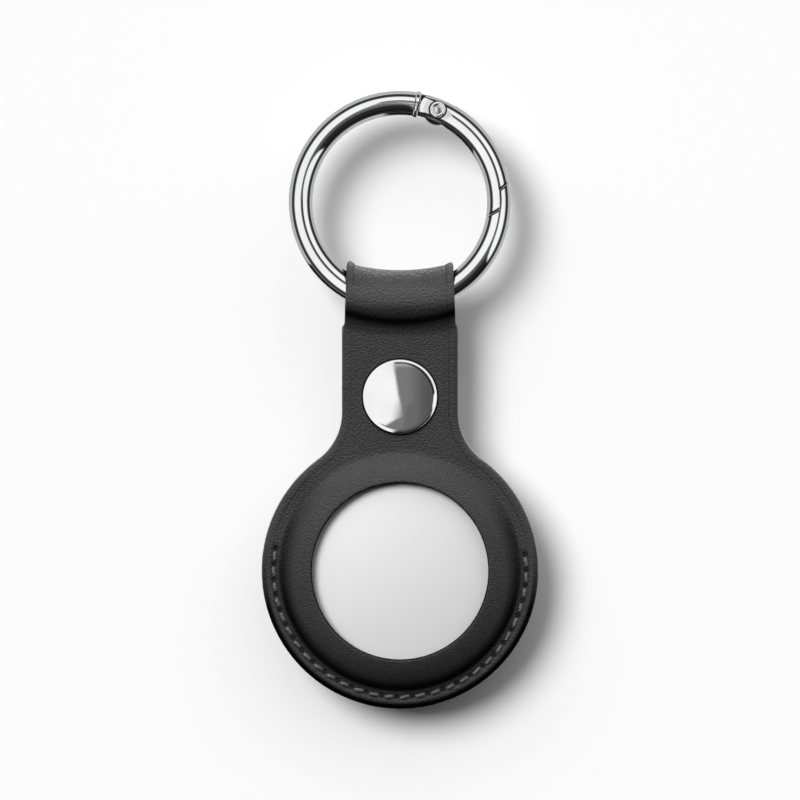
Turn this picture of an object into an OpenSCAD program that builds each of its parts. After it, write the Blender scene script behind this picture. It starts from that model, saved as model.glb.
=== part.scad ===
/* [Key ring] */
// Outer diameter of the key ring
ring_outer_d = 35; // [33:0.5:38]
// Width of the ring's wire, seen from the front
wire_w = 3.75; // [3.4:0.05:4]
// Depth of the wire, from front to back
wire_depth = 4.3; // [4:0.05:4.5]
// Place of the gate's hinge pin, in degrees clockwise from the top
hinge_angle = 22.3; // [20:0.1:28]
// Place of the latch's outer step, in degrees clockwise from the top
latch_outer_angle = 83.5; // [78:0.5:88]
// Place of the latch's inner step, in degrees clockwise from the top
latch_inner_angle = 94.5; // [90:0.5:100]
// How far the gate opens, in degrees
gate_open = 35; // [25:1:38]
// Radius of the gate's rounded end about its pin
gate_end_r = 2.85; // [2.7:0.05:3]
// Gap between the gate and the ring body
gate_gap = 0.12; // [0.08:0.01:0.2]
// Length of the collar next to the gate
collar_w = 0.8; // [0.5:0.1:1.2]
// Height of the collar's rim over the wire
collar_rim = 0.15; // [0.1:0.05:0.3]
// Thickness of the tang between the gate's cheeks
tang_t = 1.7; // [1.4:0.05:2]
// Length of the gate's flats past the rivet
flat_l = 2.5; // [2:0.1:3]
// Slope of the gate's flats down towards the collar, in degrees
flat_slope = 4.6; // [3:0.1:5]

/* [Hinge rivet and gate spring] */
// Diameter of the rivet's shank
rivet_d = 1.6; // [1.3:0.05:1.8]
// Diameter of the rivet's heads
rivet_head_d = 2.5; // [2.2:0.05:2.6]
// Width of the rivet over its heads
rivet_w = 4.8; // [4.6:0.05:5.2]
// Diameter of the hollow in the rivet's front end
rivet_hollow_d = 1.2; // [0.8:0.05:1.4]
// Diameter of the bore for the spring in the gate
spring_bore_d = 1.5; // [1.3:0.05:1.6]
// Wire of the gate's spring
gate_wire_d = 0.22; // [0.15:0.01:0.25]
// Turns of the gate's spring
gate_turns = 5; // [3:1:5]
// Smallest radius of the tang's cam
cam_r = 2.2; // [2:0.05:2.3]
// Rise of the cam over the gate's travel
cam_lift = 0.5; // [0.2:0.05:0.5]

/* [Leather] */
// Thickness of one layer of leather
layer_t = 0.9; // [0.8:0.05:1]
// Width of the strap
strap_w = 18.3; // [17:0.1:20]
// Radius of the round body
body_r = 21.8; // [21.4:0.1:24]
// Distance from the ring's centre down to the tag's centre
tag_drop = 58; // [56:0.5:64]
// Radius of the curve from the strap into the body
neck_r = 9.1; // [6:0.1:12]
// Radius of the round windows
window_r = 13.85; // [12.5:0.05:14.2]
// Width of the flat rim around a window
window_rim = 1.45; // [1:0.05:1.6]
// Depth of the pocket's flat rim from the parting plane, inside
pocket_h = 2.8; // [2.7:0.05:3.2]
// Rounding inside the pocket's shoulder
shoulder_r = 1; // [0.8:0.05:1.2]
// Rounding at the foot of the pocket's bulge
foot_r = 0.6; // [0.3:0.05:0.9]

/* [Strap loop] */
// Distance from the wire's centre down to where the loop closes
pinch_drop = 5.25; // [4.9:0.05:7]
// Room around the wire inside the loop, on each side
loop_clear = 0.05; // [0.05:0.01:0.3]
// Extra height of the loop's inside over the wire
loop_rise = 1.85; // [1.8:0.05:2.5]
// Radius of the loop's bend, seen from the front
loop_bend_r = 40; // [36:1:60]
// Width of the loop at its top corners
loop_top_w = 17.1; // [15:0.1:17.5]
// Distance from the ring's centre down to the end of the strip's tail
tail_drop = 37.4; // [36.5:0.1:38]

/* [Flap] */
// Distance from the ring's centre down to the flap's fold
fold_drop = 38.5; // [38:0.1:39]
// Distance from the ring's centre down to the flap's tip
tip_drop = 14.3; // [14:0.1:18]
// Lean of the closed flap up to its bend, in degrees
flap_tilt = 2.2; // [2:0.1:3]
// Bend of the flap's upper part away from the loop, in degrees
flap_bend = 6; // [5.5:0.1:8]
// Radius of the flap's bend, at its back face
flap_bend_r = 12; // [6:1:20]
// How far the flap stands back from the strap at the fold
flap_step = 0.6; // [0.5:0.05:0.7]

/* [Snap] */
// Distance from the ring's centre down to the snap
snap_drop = 30.6; // [29:0.1:31]
// Diameter of the smooth front cap
cap_d = 11.7; // [10:0.1:13]
// Height of the front cap
cap_h = 0.75; // [0.6:0.05:1.2]
// Diameter of the post cap at the back
post_cap_d = 12; // [10:0.1:13]
// Height of the post cap
post_cap_h = 0.75; // [0.6:0.05:1.2]
// Diameter of the raised ring on the post cap
post_ring_d = 5.7; // [5:0.1:7]
// Outer diameter of the socket
socket_d = 7.6; // [7:0.1:8.5]
// Depth of the socket
socket_h = 1.4; // [1.35:0.01:1.45]
// Diameter of the barrel that holds the socket
barrel_d = 3.2; // [2.8:0.1:3.4]
// Diameter of the stud's head
stud_d = 4; // [3.9:0.05:4.2]
// Diameter of the stud's neck
stud_neck_d = 3.4; // [3.2:0.05:3.5]
// Wire of the split spring ring in the socket
snap_wire_d = 0.45; // [0.35:0.01:0.5]

/* [Seam] */
// Radius of the row of stitches
seam_r = 19.85; // [19.6:0.05:20.5]
// Number of stitches
stitch_count = 28; // [20:1:34]
// Length of one stitch
stitch_l = 1.75; // [1.2:0.05:2]
// Width of the thread
thread_w = 0.75; // [0.5:0.05:0.9]
// Height of the thread over the leather
thread_h = 0.3; // [0.2:0.05:0.4]
// Height of the seam's left end over the tag's centre, in degrees
seam_left_angle = 10; // [0:0.5:20]
// Height of the seam's right end over the tag's centre, in degrees
seam_right_angle = 7.3; // [0:0.1:20]
// Slant of each stitch, in degrees
stitch_slant = 7; // [0:0.5:12]

/* [Tag] */
// Diameter of the tag
tag_d = 31.9; // [31:0.1:32]
// Thickness of the tag at its centre
tag_t = 8; // [7.6:0.1:8.2]
// Drop of the domed face from its centre to the window's edge
dome_drop = 1.35; // [1.3:0.05:1.8]
// Rounding of the tag's edge
tag_edge_r = 2.2; // [1.8:0.1:2.4]
// Diameter of the back cover
cover_d = 25.6; // [24:0.1:26]
// Thickness of the back cover
cover_t = 0.6; // [0.4:0.05:0.8]
// Diameter of the coin cell
cell_d = 20; // [18:0.5:20]
// Thickness of the coin cell
cell_t = 3.2; // [2.5:0.1:3.2]
// Diameter of the speaker's magnet
magnet_d = 9.4; // [8:0.1:10]

/* [Hidden] */
$fn = 96;
fine = 240;
overrun = 1;

leather = [0.13, 0.13, 0.135];
lining = [0.19, 0.19, 0.195];
thread = [0.08, 0.08, 0.085];
chrome = [0.86, 0.87, 0.88];
steel = [0.72, 0.73, 0.74];
pale = [0.87, 0.87, 0.87];

// Ring
ring_r = (ring_outer_d - wire_w) / 2;
wire_flat = (wire_depth - wire_w) / 2;
pin_x = ring_r * sin(hinge_angle);
pin_y = ring_r * cos(hinge_angle);
hinge_reach_angle = 16;
latch_reach_angle = 6;
notch_outer_r = 2 * ring_r * sin((latch_outer_angle - hinge_angle) / 2);
notch_inner_r = 2 * ring_r * sin((latch_inner_angle - hinge_angle) / 2);
latch_box = ring_outer_d / 2;
collar_r = gate_end_r + gate_gap;
collar_angle = asin(collar_r / ring_r);
collar_w_angle = collar_w / ring_r * 180 / PI;
tang_inset = 0.15;
slot_side_gap = 0.1;
slot_w = tang_t + 2 * slot_side_gap;
cam_gap = 0.2;
slot_r = cam_r + cam_lift + cam_gap;
cam_steps = 28;
boss_floor = 1.5;
boss_gap = 0.15;
pin_gap = 0.05;
head_gap = 0.03;
hollow_depth = 0.7;
rivet_dome_share = 0.25;

// Spring and plunger in the gate
bore_end = 8.6;
plunge_angle = hinge_angle + asin(bore_end / (2 * ring_r));
plunger_gap = 0.1;
plunger_d = spring_bore_d - 2 * plunger_gap;
nose_gap = 0.06;
plunger_l = 2.6;
plunger_start = cam_r + nose_gap;
spring_start = plunger_start + plunger_l;
coil_gap = 0.03;
coil_side_gap = 0.12;
coil_r = spring_bore_d / 2 - gate_wire_d / 2 - coil_side_gap;
coil_l = bore_end - spring_start - gate_wire_d - 2 * coil_gap;
coil_steps = 10;
coil_sides = 6;

// Leather panels, with heights counted from the parting plane
panel_t = 2 * layer_t;
rim_r = window_r + window_rim;
ledge_h = pocket_h - shoulder_r;
pocket_r = rim_r + shoulder_r;
bulge_h = pocket_h + panel_t;
neck_x = strap_w / 2 + neck_r;
neck_rise = sqrt(pow(body_r + neck_r, 2) - pow(neck_x, 2));
neck_share = body_r / (body_r + neck_r);

// Strap loop
eye_in_r = wire_depth / 2 + loop_clear;
eye_out_r = eye_in_r + layer_t;
pinch_lap = 0.04;
pinch_half = layer_t + pinch_lap;
eye_a = pow(eye_out_r, 2) - pow(pinch_half, 2);
eye_b = pinch_drop * pow(eye_out_r, 2);
eye_c = pow(eye_out_r, 2) * (pow(pinch_drop, 2) + pow(pinch_half, 2));
apex_out = (eye_b + sqrt(pow(eye_b, 2) - eye_a * eye_c)) / eye_a;
apex_in = apex_out * eye_in_r / eye_out_r;
pinch_r = loop_bend_r + pinch_drop;
loop_axis_y = loop_bend_r - ring_r;
loop_half_angle = 18;
eye_steps = 24;
eye_side_steps = 5;
loop_top_y = loop_rise + eye_out_r - ring_r;
loop_shoulder_y = loop_top_y - eye_out_r;
tail_overlap = 0.15;
lining_gap = 0.15;

// Flap, with its own frame at the fold
fold_gap = 0.05;
pivot_depth = panel_t + flap_step;
fold_to_neck = fold_drop - tag_drop + neck_rise;
fold_x = neck_x - sqrt(pow(neck_r, 2) - pow(fold_to_neck - fold_gap, 2));
tip_centre_rise = fold_drop - tip_drop - strap_w / 2;
flap_bend_rise = 14;
flap_bend_steps = 6;
flap_tip_l = tip_centre_rise + strap_w / 2 - flap_bend_rise;

// Snap, with depths counted from the back of the front outer layer
base_t = 0.2;
clinch_t = 0.12;
clinch_w = 0.6;
hole_gap = 0.1;
mouth_gap = 0.35;
mouth_r = stud_d / 2 + mouth_gap;
snap_ring_z = 1;
snap_ring_r = 2.15;
snap_ring_angle = 320;
groove_gap = 0.025;
groove_w = 0.6;
tip_gap = 0.15;
tip_z = base_t + clinch_t + tip_gap;
head_t = 0.19;
tip_bevel = 0.05;
tip_r_share = 0.65;
head_slope = 0.15;
barrel_wall = 0.45;
stud_flange_r = 3.7;
stud_flange_t = 0.3;
post_barrel_r = 1.15;
post_bore_gap = 0.05;
snap_rise = fold_drop - snap_drop;
tip_over_pivot = pivot_depth + layer_t - tip_z;
flap_snap_l = (snap_rise - tip_over_pivot * sin(flap_tilt)) / cos(flap_tilt);
stud_tip_z = (tip_over_pivot + flap_snap_l * sin(flap_tilt)) / cos(flap_tilt);
cap_edge_h = 0.3;
cap_dome_h = cap_h - cap_edge_h;
cap_dome_r = (pow(cap_d / 2, 2) + pow(cap_dome_h, 2)) / (2 * cap_dome_h);
post_edge_h = 0.25;
post_dome_h = post_cap_h - post_edge_h;
post_dome_r = (pow(post_cap_d / 2, 2) + pow(post_dome_h, 2)) / (2 * post_dome_h);
post_ring_w = 0.7;
post_ring_sink = 0.25;

// Seam
seam_start = 180 - seam_left_angle;
seam_span = 180 + seam_left_angle + seam_right_angle;

// Tag, with heights counted from its middle plane
tag_r = tag_d / 2;
dome_r = (pow(window_r, 2) + pow(dome_drop, 2)) / (2 * dome_drop);
dome_z = tag_t / 2 - dome_r;
tag_side_h = 0.45;
tag_side_r = tag_r - tag_edge_r;
shell_t = 1.1;
board_seat_z = 1.5;
board_t = 0.6;
board_gap = 0.1;
board_seat_w = 0.6;
cover_gap = 0.08;
shell_room_r = cover_d / 2 + cover_gap;
board_r = cover_d / 2 - board_gap;
seat_room_r = board_r - board_seat_w;
cell_gap = 0.1;
cell_edge_z = dome_z + sqrt(pow(dome_r, 2) - pow(cell_d / 2, 2));
cell_z = -cell_edge_z + cover_t + cell_gap;
cell_step_r = 8.8;
cell_step_t = 0.5;
cell_bevel = 0.25;
contact_r = 6.8;
contact_w = 1.2;
contact_l = 2.4;
magnet_t = 1.8;
board_hole_gap = 0.6;

// Shared forms

// Turns a form drawn as seen from the front, up along Y, to stand along Z
module face_on() rotate([90, 0, 0]) children();

// The wire's section: two half rounds with a short flat between them
module wire_section(grow) {
    for (side = [-1, 1])
        translate([ring_r, side * wire_flat])
            circle(d = wire_w + 2 * grow);
    translate([ring_r, 0])
        square([wire_w + 2 * grow, 2 * wire_flat], center = true);
}

// A stretch of the ring's wire, in degrees clockwise from the top
module wire_arc(from, to, grow = 0)
    rotate([0, 0, 90 - to])
        rotate_extrude(angle = to - from, $fn = fine) wire_section(grow);

// A round prism about the hinge pin, as deep as the wire or deeper
module pin_round(r, h = wire_depth + 2 * overrun)
    translate([pin_x, pin_y, 0]) cylinder(r = r, h = h, center = true, $fn = fine);

// The space that the gate's stepped end fills at the latch
module latch_space(gap) {
    pin_round(notch_outer_r + gap);
    intersection() {
        pin_round(notch_inner_r + gap);
        cylinder(r = ring_r + gap, h = wire_depth + 2 * overrun, center = true, $fn = fine);
    }
}

// Outline of a leather panel: round body, neck and strap up to a height
module panel_outline(top) {
    translate([0, -tag_drop]) circle(r = body_r, $fn = fine);
    difference() {
        polygon([
            [-neck_x, neck_rise - tag_drop], [neck_x, neck_rise - tag_drop],
            [neck_x * neck_share, neck_rise * neck_share - tag_drop],
            [-neck_x * neck_share, neck_rise * neck_share - tag_drop]
        ]);
        for (side = [-1, 1])
            translate([side * neck_x, neck_rise - tag_drop]) circle(r = neck_r, $fn = fine);
    }
    translate([-strap_w / 2, -tag_drop]) square([strap_w, top + tag_drop]);
}

// Half section of the pocket's bulge, down to a depth of leather from the inside
module bulge_section(t) {
    square([rim_r, pocket_h + t]);
    square([pocket_r + t, max(ledge_h, t)]);
    intersection() {
        translate([rim_r, ledge_h]) circle(r = shoulder_r + t);
        square([body_r, body_r]);
    }
}

// Small hollow curve where the bulge meets the flange
module bulge_foot() {
    difference() {
        translate([pocket_r + panel_t - foot_r / 2, panel_t])
            square([1.5 * foot_r, foot_r]);
        translate([pocket_r + panel_t + foot_r, panel_t + foot_r]) circle(r = foot_r);
    }
}

// One layer of a panel, from one depth of leather to another
module panel_layer(t0, t1, top)
    difference() {
        union() {
            translate([0, 0, t0]) linear_extrude(t1 - t0) panel_outline(top);
            translate([0, -tag_drop, 0]) rotate_extrude($fn = fine) {
                difference() {
                    bulge_section(t1);
                    if (t0 > 0) square([body_r, t0]);
                }
                if (t1 == panel_t) bulge_foot();
            }
        }
        translate([0, -tag_drop, 0]) rotate_extrude($fn = fine) bulge_section(t0);
        translate([0, -tag_drop, 0])
            cylinder(r = window_r, h = bulge_h + overrun, $fn = fine);
        translate([-body_r, top, -overrun]) cube([2 * body_r, body_r, panel_t + 2 * overrun]);
    }

// Places a form on the front panel, heights counted forwards from the parting plane
module front_side() face_on() translate([0, 0, -layer_t]) children();

// Places a form on the back panel, heights counted backwards from the parting plane
module back_side() face_on() translate([0, 0, -layer_t]) mirror([0, 0, 1]) children();

// The flap's own frame: Y up along it, Z forwards from its back face
module flap_frame()
    face_on()
        translate([0, -fold_drop, -layer_t - pivot_depth])
            rotate([-flap_tilt, 0, 0]) children();

// The snap's frame: Z forwards from the back of the front outer layer
module snap_frame() face_on() translate([0, -snap_drop, 0]) children();

// The tag's frame: Z forwards from its middle plane
module tag_frame() face_on() translate([0, -tag_drop, -layer_t]) children();

// A low round cap: a short straight edge under a shallow dome
module domed_cap(d, h, r)
    rotate_extrude() intersection() {
        square([d / 2, h]);
        translate([0, h - r]) circle(r = r, $fn = 4 * fine);
    }

// Key ring

module ring_body() color(chrome) face_on() {
    difference() {
        union() {
            wire_arc(latch_outer_angle - latch_reach_angle, 360 + hinge_angle);
            wire_arc(hinge_angle - collar_angle - collar_w_angle, hinge_angle - overrun, collar_rim);
        }
        rotate([0, 0, collar_angle - hinge_angle])
            translate([0, ring_r - wire_w, -wire_depth])
                cube([2 * collar_r, 2 * wire_w, 2 * wire_depth]);
        intersection() {
            latch_space(gate_gap);
            translate([latch_box, 0, 0])
                cube([latch_box, latch_box, wire_depth + overrun], center = true);
        }
    }
    difference() {
        intersection() {
            union() {
                wire_arc(hinge_angle - hinge_reach_angle, hinge_angle, -tang_inset);
                cam();
            }
            translate([0, 0, -tang_t / 2])
                cylinder(r = ring_r + wire_w / 2 - tang_inset, h = tang_t, $fn = fine);
        }
        pin_round(rivet_d / 2);
    }
}

// Radius of the cam at an angle past the plunger, which grows over the gate's travel
function cam_at(turn) = cam_r + cam_lift * min(max(turn, 0), gate_open) / gate_open;

// The tang's round eye, which the plunger bears on as the gate turns
module cam()
    translate([pin_x, pin_y, -tang_t / 2]) linear_extrude(tang_t) polygon([
        for (i = [0 : cam_steps - 1])
            let (turn = -180 + 360 * i / cam_steps, a = -plunge_angle - turn)
                cam_at(turn) * [cos(a), sin(a)]
    ]);

module hinge_rivet() color(steel) face_on() translate([pin_x, pin_y, 0]) difference() {
    union() {
        cylinder(d = rivet_d, h = 2 * boss_floor + 2 * head_gap, center = true);
        translate([0, 0, boss_floor + head_gap])
            cylinder(d = rivet_head_d, h = rivet_w / 2 - boss_floor - head_gap);
        mirror([0, 0, 1]) translate([0, 0, boss_floor + head_gap])
            rivet_dome(rivet_w / 2 - boss_floor - head_gap);
    }
    translate([0, 0, rivet_w / 2 - hollow_depth])
        cylinder(d = rivet_hollow_d, h = hollow_depth + overrun);
}

// The rivet's back head: a short cylinder with a domed end
module rivet_dome(h) {
    dome_h = rivet_dome_share * rivet_head_d;
    r = (pow(rivet_head_d / 2, 2) + pow(dome_h, 2)) / (2 * dome_h);
    domed_cap(rivet_head_d, h, r);
}

module ring_gate() color(chrome) face_on() difference() {
    intersection() {
        wire_arc(hinge_angle - hinge_reach_angle, latch_inner_angle + 2 * latch_reach_angle);
        union() {
            pin_round(gate_end_r);
            difference() {
                latch_space(0);
                rotate([0, 0, -hinge_angle]) translate([-ring_outer_d, -ring_outer_d, -wire_depth])
                    cube([ring_outer_d, 2 * ring_outer_d, 2 * wire_depth]);
            }
        }
    }
    pin_round(slot_r, slot_w);
    pin_round(rivet_d / 2 + pin_gap);
    for (side = [0, 1])
        mirror([0, 0, side]) translate([pin_x, pin_y, boss_floor])
            cylinder(d = rivet_head_d + 2 * boss_gap, h = wire_depth);
    for (side = [0, 1])
        mirror([0, 0, side]) gate_flat();
    plunger_frame() cylinder(d = spring_bore_d, h = bore_end);
}

// The space over the flat round the rivet, which slopes down towards the collar
module gate_flat()
    translate([pin_x, pin_y, wire_depth / 2]) rotate([0, 0, -hinge_angle])
        translate([flat_l, 0, 0]) rotate([0, -flat_slope, 0])
            translate([-2 * collar_r - flat_l, -wire_w, 0])
                cube([2 * collar_r + flat_l, 2 * wire_w, wire_w]);

// The bore's frame: Z from the pin along the bore in the gate
module plunger_frame()
    translate([pin_x, pin_y, 0]) rotate([0, 0, -plunge_angle]) rotate([0, 90, 0]) children();

module spring_plunger() color(steel) face_on() plunger_frame() {
    translate([0, 0, plunger_start + plunger_d / 2]) {
        sphere(d = plunger_d);
        cylinder(d = plunger_d, h = plunger_l - plunger_d / 2);
    }
}

// Least gap between two turns of the gate's spring, between their surfaces
function coil_pitch_gap() = coil_l / gate_turns - gate_wire_d;

// Points round the coil's wire at one step
function coil_ring(i) =
    let (a = 360 * i / coil_steps, z = coil_l * i / (coil_steps * gate_turns))
    [for (j = [0 : coil_sides - 1])
        let (b = 360 * j / coil_sides, r = coil_r + gate_wire_d / 2 * cos(b))
            [r * cos(a), r * sin(a), z + gate_wire_d / 2 * sin(b)]];

module gate_spring() color(steel) face_on() plunger_frame()
    translate([0, 0, spring_start + coil_gap + gate_wire_d / 2]) {
        steps = coil_steps * gate_turns;
        points = [for (i = [0 : steps]) each coil_ring(i)];
        side_faces = [
            for (i = [0 : steps - 1], j = [0 : coil_sides - 1])
                let (
                    k = (j + 1) % coil_sides,
                    a = coil_sides * i + j, b = coil_sides * i + k,
                    c = coil_sides * (i + 1) + j, d = coil_sides * (i + 1) + k
                )
                    each [[a, b, d], [a, d, c]]
        ];
        first_end = [for (j = [1 : coil_sides - 2]) [0, j + 1, j]];
        last_end = [for (j = [1 : coil_sides - 2]) coil_sides * steps * [1, 1, 1] + [0, j, j + 1]];
        polyhedron(points, concat(side_faces, first_end, last_end));
    }

// Leather

// Points of an arc in the loop's section, about a centre that lies a rise above the wire's
function eye_arc(r, rise, from, to, steps) = [
    for (i = [0 : steps])
        let (a = from + (to - from) * i / steps)
            [loop_bend_r - rise + r * cos(a), r * sin(a)]
];

// Section of the loop about the wire: a round top, straight sides, and a closing point
module eye_section(r, apex) {
    close_angle = acos(r / apex);
    polygon(concat(
        eye_arc(r, loop_rise, 90, 270, eye_steps),
        eye_arc(r, 0, 270, 360 - close_angle, eye_side_steps),
        [[loop_bend_r + apex, 0]],
        eye_arc(r, 0, close_angle, 90, eye_side_steps)
    ));
}

module strap_loop() color(leather) face_on() {
    intersection() {
        translate([0, loop_axis_y, 0]) rotate([0, 0, -90 - loop_half_angle])
            rotate_extrude(angle = 2 * loop_half_angle, $fn = fine) difference() {
                intersection() {
                    eye_section(eye_out_r, apex_out);
                    translate([0, -loop_bend_r]) square([pinch_r, 2 * loop_bend_r]);
                }
                eye_section(eye_in_r, apex_in);
            }
        translate([0, 0, -eye_out_r - overrun]) linear_extrude(2 * (eye_out_r + overrun)) polygon([
            for (side = [-1, 1], corner = side < 0 ? [0, 1, 2] : [2, 1, 0])
                corner == 0 ? [side * strap_w / 2, -tail_drop]
                : corner == 1 ? [side * strap_w / 2, loop_shoulder_y]
                : [side * loop_top_w / 2, loop_top_y + loop_rise]
        ]);
    }
    translate([0, 0, -layer_t]) linear_extrude(layer_t) difference() {
        translate([-strap_w / 2, -tail_drop]) square([strap_w, tail_drop - ring_r]);
        translate([0, loop_axis_y]) circle(r = pinch_r - tail_overlap, $fn = 2 * fine);
        translate([0, -snap_drop]) circle(d = socket_d + 2 * hole_gap);
    }
}

module front_outer_leather() color(leather) difference() {
    front_side() panel_layer(layer_t, panel_t, -ring_r);
    face_on() translate([0, loop_axis_y, 0])
        cylinder(r = pinch_r, h = panel_t + overrun, $fn = 2 * fine);
    snap_frame() cylinder(d = barrel_d + 2 * hole_gap, h = panel_t + overrun);
}

module front_lining() color(lining) front_side()
    panel_layer(0, layer_t, -tail_drop - lining_gap);

module back_outer_leather() color(leather) back_side()
    panel_layer(layer_t, panel_t, -fold_drop);

module back_lining() color(lining) back_side()
    panel_layer(0, layer_t, -fold_drop);

// One stitch on the flange, lying along the seam
module stitch()
    linear_extrude(thread_h) {
        for (side = [-1, 1])
            translate([side * (stitch_l - thread_w) / 2, 0]) circle(d = thread_w, $fn = 24);
        square([stitch_l - thread_w, thread_w], center = true);
    }

module stitch_row()
    for (i = [0 : stitch_count - 1])
        translate([0, -tag_drop, panel_t])
            rotate([0, 0, seam_start + seam_span * (i + 0.5) / stitch_count])
                translate([seam_r, 0, 0]) rotate([0, 0, 90 + stitch_slant]) stitch();

module front_seam_thread() color(thread) front_side() stitch_row();

module back_seam_thread() color(thread) back_side() stitch_row();

// Flap

// A point of the flap's side section on the bend, at a height over its back face
function bend_at(a, h) =
    [flap_bend_rise + (flap_bend_r + h) * sin(a), (flap_bend_r + h) * cos(a) - flap_bend_r];

// The flap's side section between two heights: straight, bent a little, straight to the tip
module flap_section(h0, h1) {
    along = flap_tip_l * [cos(flap_bend), -sin(flap_bend)];
    polygon(concat(
        [[0, h0]],
        [for (i = [0 : flap_bend_steps]) bend_at(flap_bend * i / flap_bend_steps, h0)],
        [bend_at(flap_bend, h0) + along, bend_at(flap_bend, h1) + along],
        [for (i = [0 : flap_bend_steps]) bend_at(flap_bend * (1 - i / flap_bend_steps), h1)],
        [[0, h1]]
    ));
}

// One layer of the flap, with its hole for the snap's post
module flap_layer(z) difference() {
    intersection() {
        translate([0, 0, -flap_tip_l]) linear_extrude(2 * flap_tip_l) {
            polygon([
                [-fold_x, fold_gap], [fold_x, fold_gap],
                [strap_w / 2, fold_to_neck], [strap_w / 2, tip_centre_rise],
                [-strap_w / 2, tip_centre_rise], [-strap_w / 2, fold_to_neck]
            ]);
            translate([0, tip_centre_rise]) circle(d = strap_w, $fn = fine);
        }
        rotate([90, 0, 90]) linear_extrude(2 * fold_x + overrun, center = true)
            flap_section(z, z + layer_t);
    }
    for (side = [-1, 1])
        translate([side * neck_x, fold_to_neck, -overrun])
            cylinder(r = neck_r, h = panel_t + 2 * overrun, $fn = fine);
    translate([0, flap_snap_l, -overrun])
        cylinder(r = post_barrel_r + hole_gap, h = panel_t + 2 * overrun);
}

module flap_outer_leather() color(leather) flap_frame() flap_layer(0);

module flap_lining() color(lining) flap_frame() difference() {
    flap_layer(layer_t);
    translate([0, flap_snap_l, panel_t - stud_flange_t])
        cylinder(r = stud_flange_r + hole_gap, h = stud_flange_t + overrun);
}

// Snap

module snap_cap() color(chrome) snap_frame() {
    translate([0, 0, layer_t]) domed_cap(cap_d, cap_h, cap_dome_r);
    difference() {
        translate([0, 0, -base_t - clinch_t]) {
            cylinder(d = barrel_d, h = layer_t + base_t + clinch_t);
            cylinder(r = barrel_d / 2 + clinch_w, h = clinch_t);
        }
        translate([0, 0, -base_t - clinch_t - overrun])
            cylinder(r = barrel_d / 2 - barrel_wall, h = layer_t + base_t + clinch_t + overrun);
    }
}

module snap_socket() color(steel) snap_frame() mirror([0, 0, 1]) difference() {
    cylinder(d = socket_d, h = socket_h);
    translate([0, 0, -overrun]) cylinder(d = barrel_d + hole_gap, h = socket_h + overrun);
    translate([0, 0, base_t]) cylinder(r = mouth_r, h = socket_h);
    translate([0, 0, snap_ring_z - snap_wire_d / 2 - groove_gap])
        cylinder(r = mouth_r + groove_w, h = snap_wire_d + 2 * groove_gap);
}

module snap_spring() color(steel) snap_frame() translate([0, 0, -snap_ring_z])
    rotate([0, 0, 90 - snap_ring_angle / 2]) rotate_extrude(angle = snap_ring_angle)
        translate([snap_ring_r, 0]) circle(d = snap_wire_d, $fn = 24);

module snap_stud() color(steel) flap_frame() translate([0, flap_snap_l, 0]) difference() {
    rotate_extrude() polygon([
        [0, panel_t - stud_flange_t], [stud_flange_r, panel_t - stud_flange_t],
        [stud_flange_r, panel_t], [stud_neck_d / 2, panel_t],
        [stud_neck_d / 2, stud_tip_z - head_t - head_slope],
        [stud_d / 2, stud_tip_z - head_t],
        [stud_d / 2, stud_tip_z - tip_bevel],
        [tip_r_share * stud_d / 2, stud_tip_z], [0, stud_tip_z]
    ]);
    cylinder(r = post_barrel_r + post_bore_gap, h = stud_tip_z - head_t);
}

module snap_post_cap() color(chrome) flap_frame() translate([0, flap_snap_l, 0]) {
    mirror([0, 0, 1]) difference() {
        domed_cap(post_cap_d, post_cap_h, post_dome_r);
        translate([0, 0, post_cap_h - post_ring_sink]) difference() {
            cylinder(d = post_ring_d, h = overrun);
            translate([0, 0, -overrun])
                cylinder(d = post_ring_d - 2 * post_ring_w, h = post_ring_sink + overrun);
        }
        translate([0, 0, post_cap_h - post_ring_sink])
            cylinder(d = post_ring_d - 2 * post_ring_w, h = overrun);
    }
    cylinder(r = post_barrel_r, h = stud_tip_z - head_t - post_bore_gap);
}

// Tag

// Half section of the tag: two shallow domes over a rounded side
module tag_section()
    intersection() {
        translate([0, dome_z]) circle(r = dome_r, $fn = 4 * fine);
        translate([0, -dome_z]) circle(r = dome_r, $fn = 4 * fine);
        union() {
            translate([0, -tag_t / 2]) square([tag_side_r, tag_t]);
            translate([0, -tag_side_h]) square([tag_r, 2 * tag_side_h]);
            for (side = [-1, 1])
                translate([tag_side_r, side * tag_side_h]) circle(r = tag_edge_r);
        }
    }

module tag_shell() color(pale) tag_frame() rotate_extrude($fn = fine) difference() {
    intersection() {
        tag_section();
        translate([0, -tag_t]) square([tag_r, 2 * tag_t]);
    }
    translate([0, -tag_t]) square([shell_room_r, tag_t + board_seat_z]);
    intersection() {
        square([seat_room_r, tag_t]);
        translate([0, dome_z]) circle(r = dome_r - shell_t, $fn = 4 * fine);
    }
}

module tag_back_cover() color(steel) tag_frame() rotate_extrude($fn = fine) {
    intersection() {
        difference() {
            tag_section();
            translate([0, -dome_z]) circle(r = dome_r - cover_t, $fn = 4 * fine);
        }
        translate([0, -tag_t]) square([cover_d / 2, tag_t]);
    }
}

module tag_battery() color(steel) tag_frame() translate([0, 0, cell_z]) rotate_extrude()
    polygon([
        [0, 0], [cell_d / 2 - cell_bevel, 0], [cell_d / 2, cell_bevel],
        [cell_d / 2, cell_t - cell_step_t], [cell_step_r, cell_t - cell_step_t],
        [cell_step_r, cell_t], [0, cell_t]
    ]);

module tag_circuit_board() color([0.1, 0.3, 0.18]) tag_frame()
    translate([0, 0, board_seat_z - board_t]) difference() {
        cylinder(r = board_r, h = board_t, $fn = fine);
        translate([0, 0, -overrun])
            cylinder(r = magnet_d / 2 + board_hole_gap, h = board_t + 2 * overrun);
    }

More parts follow.
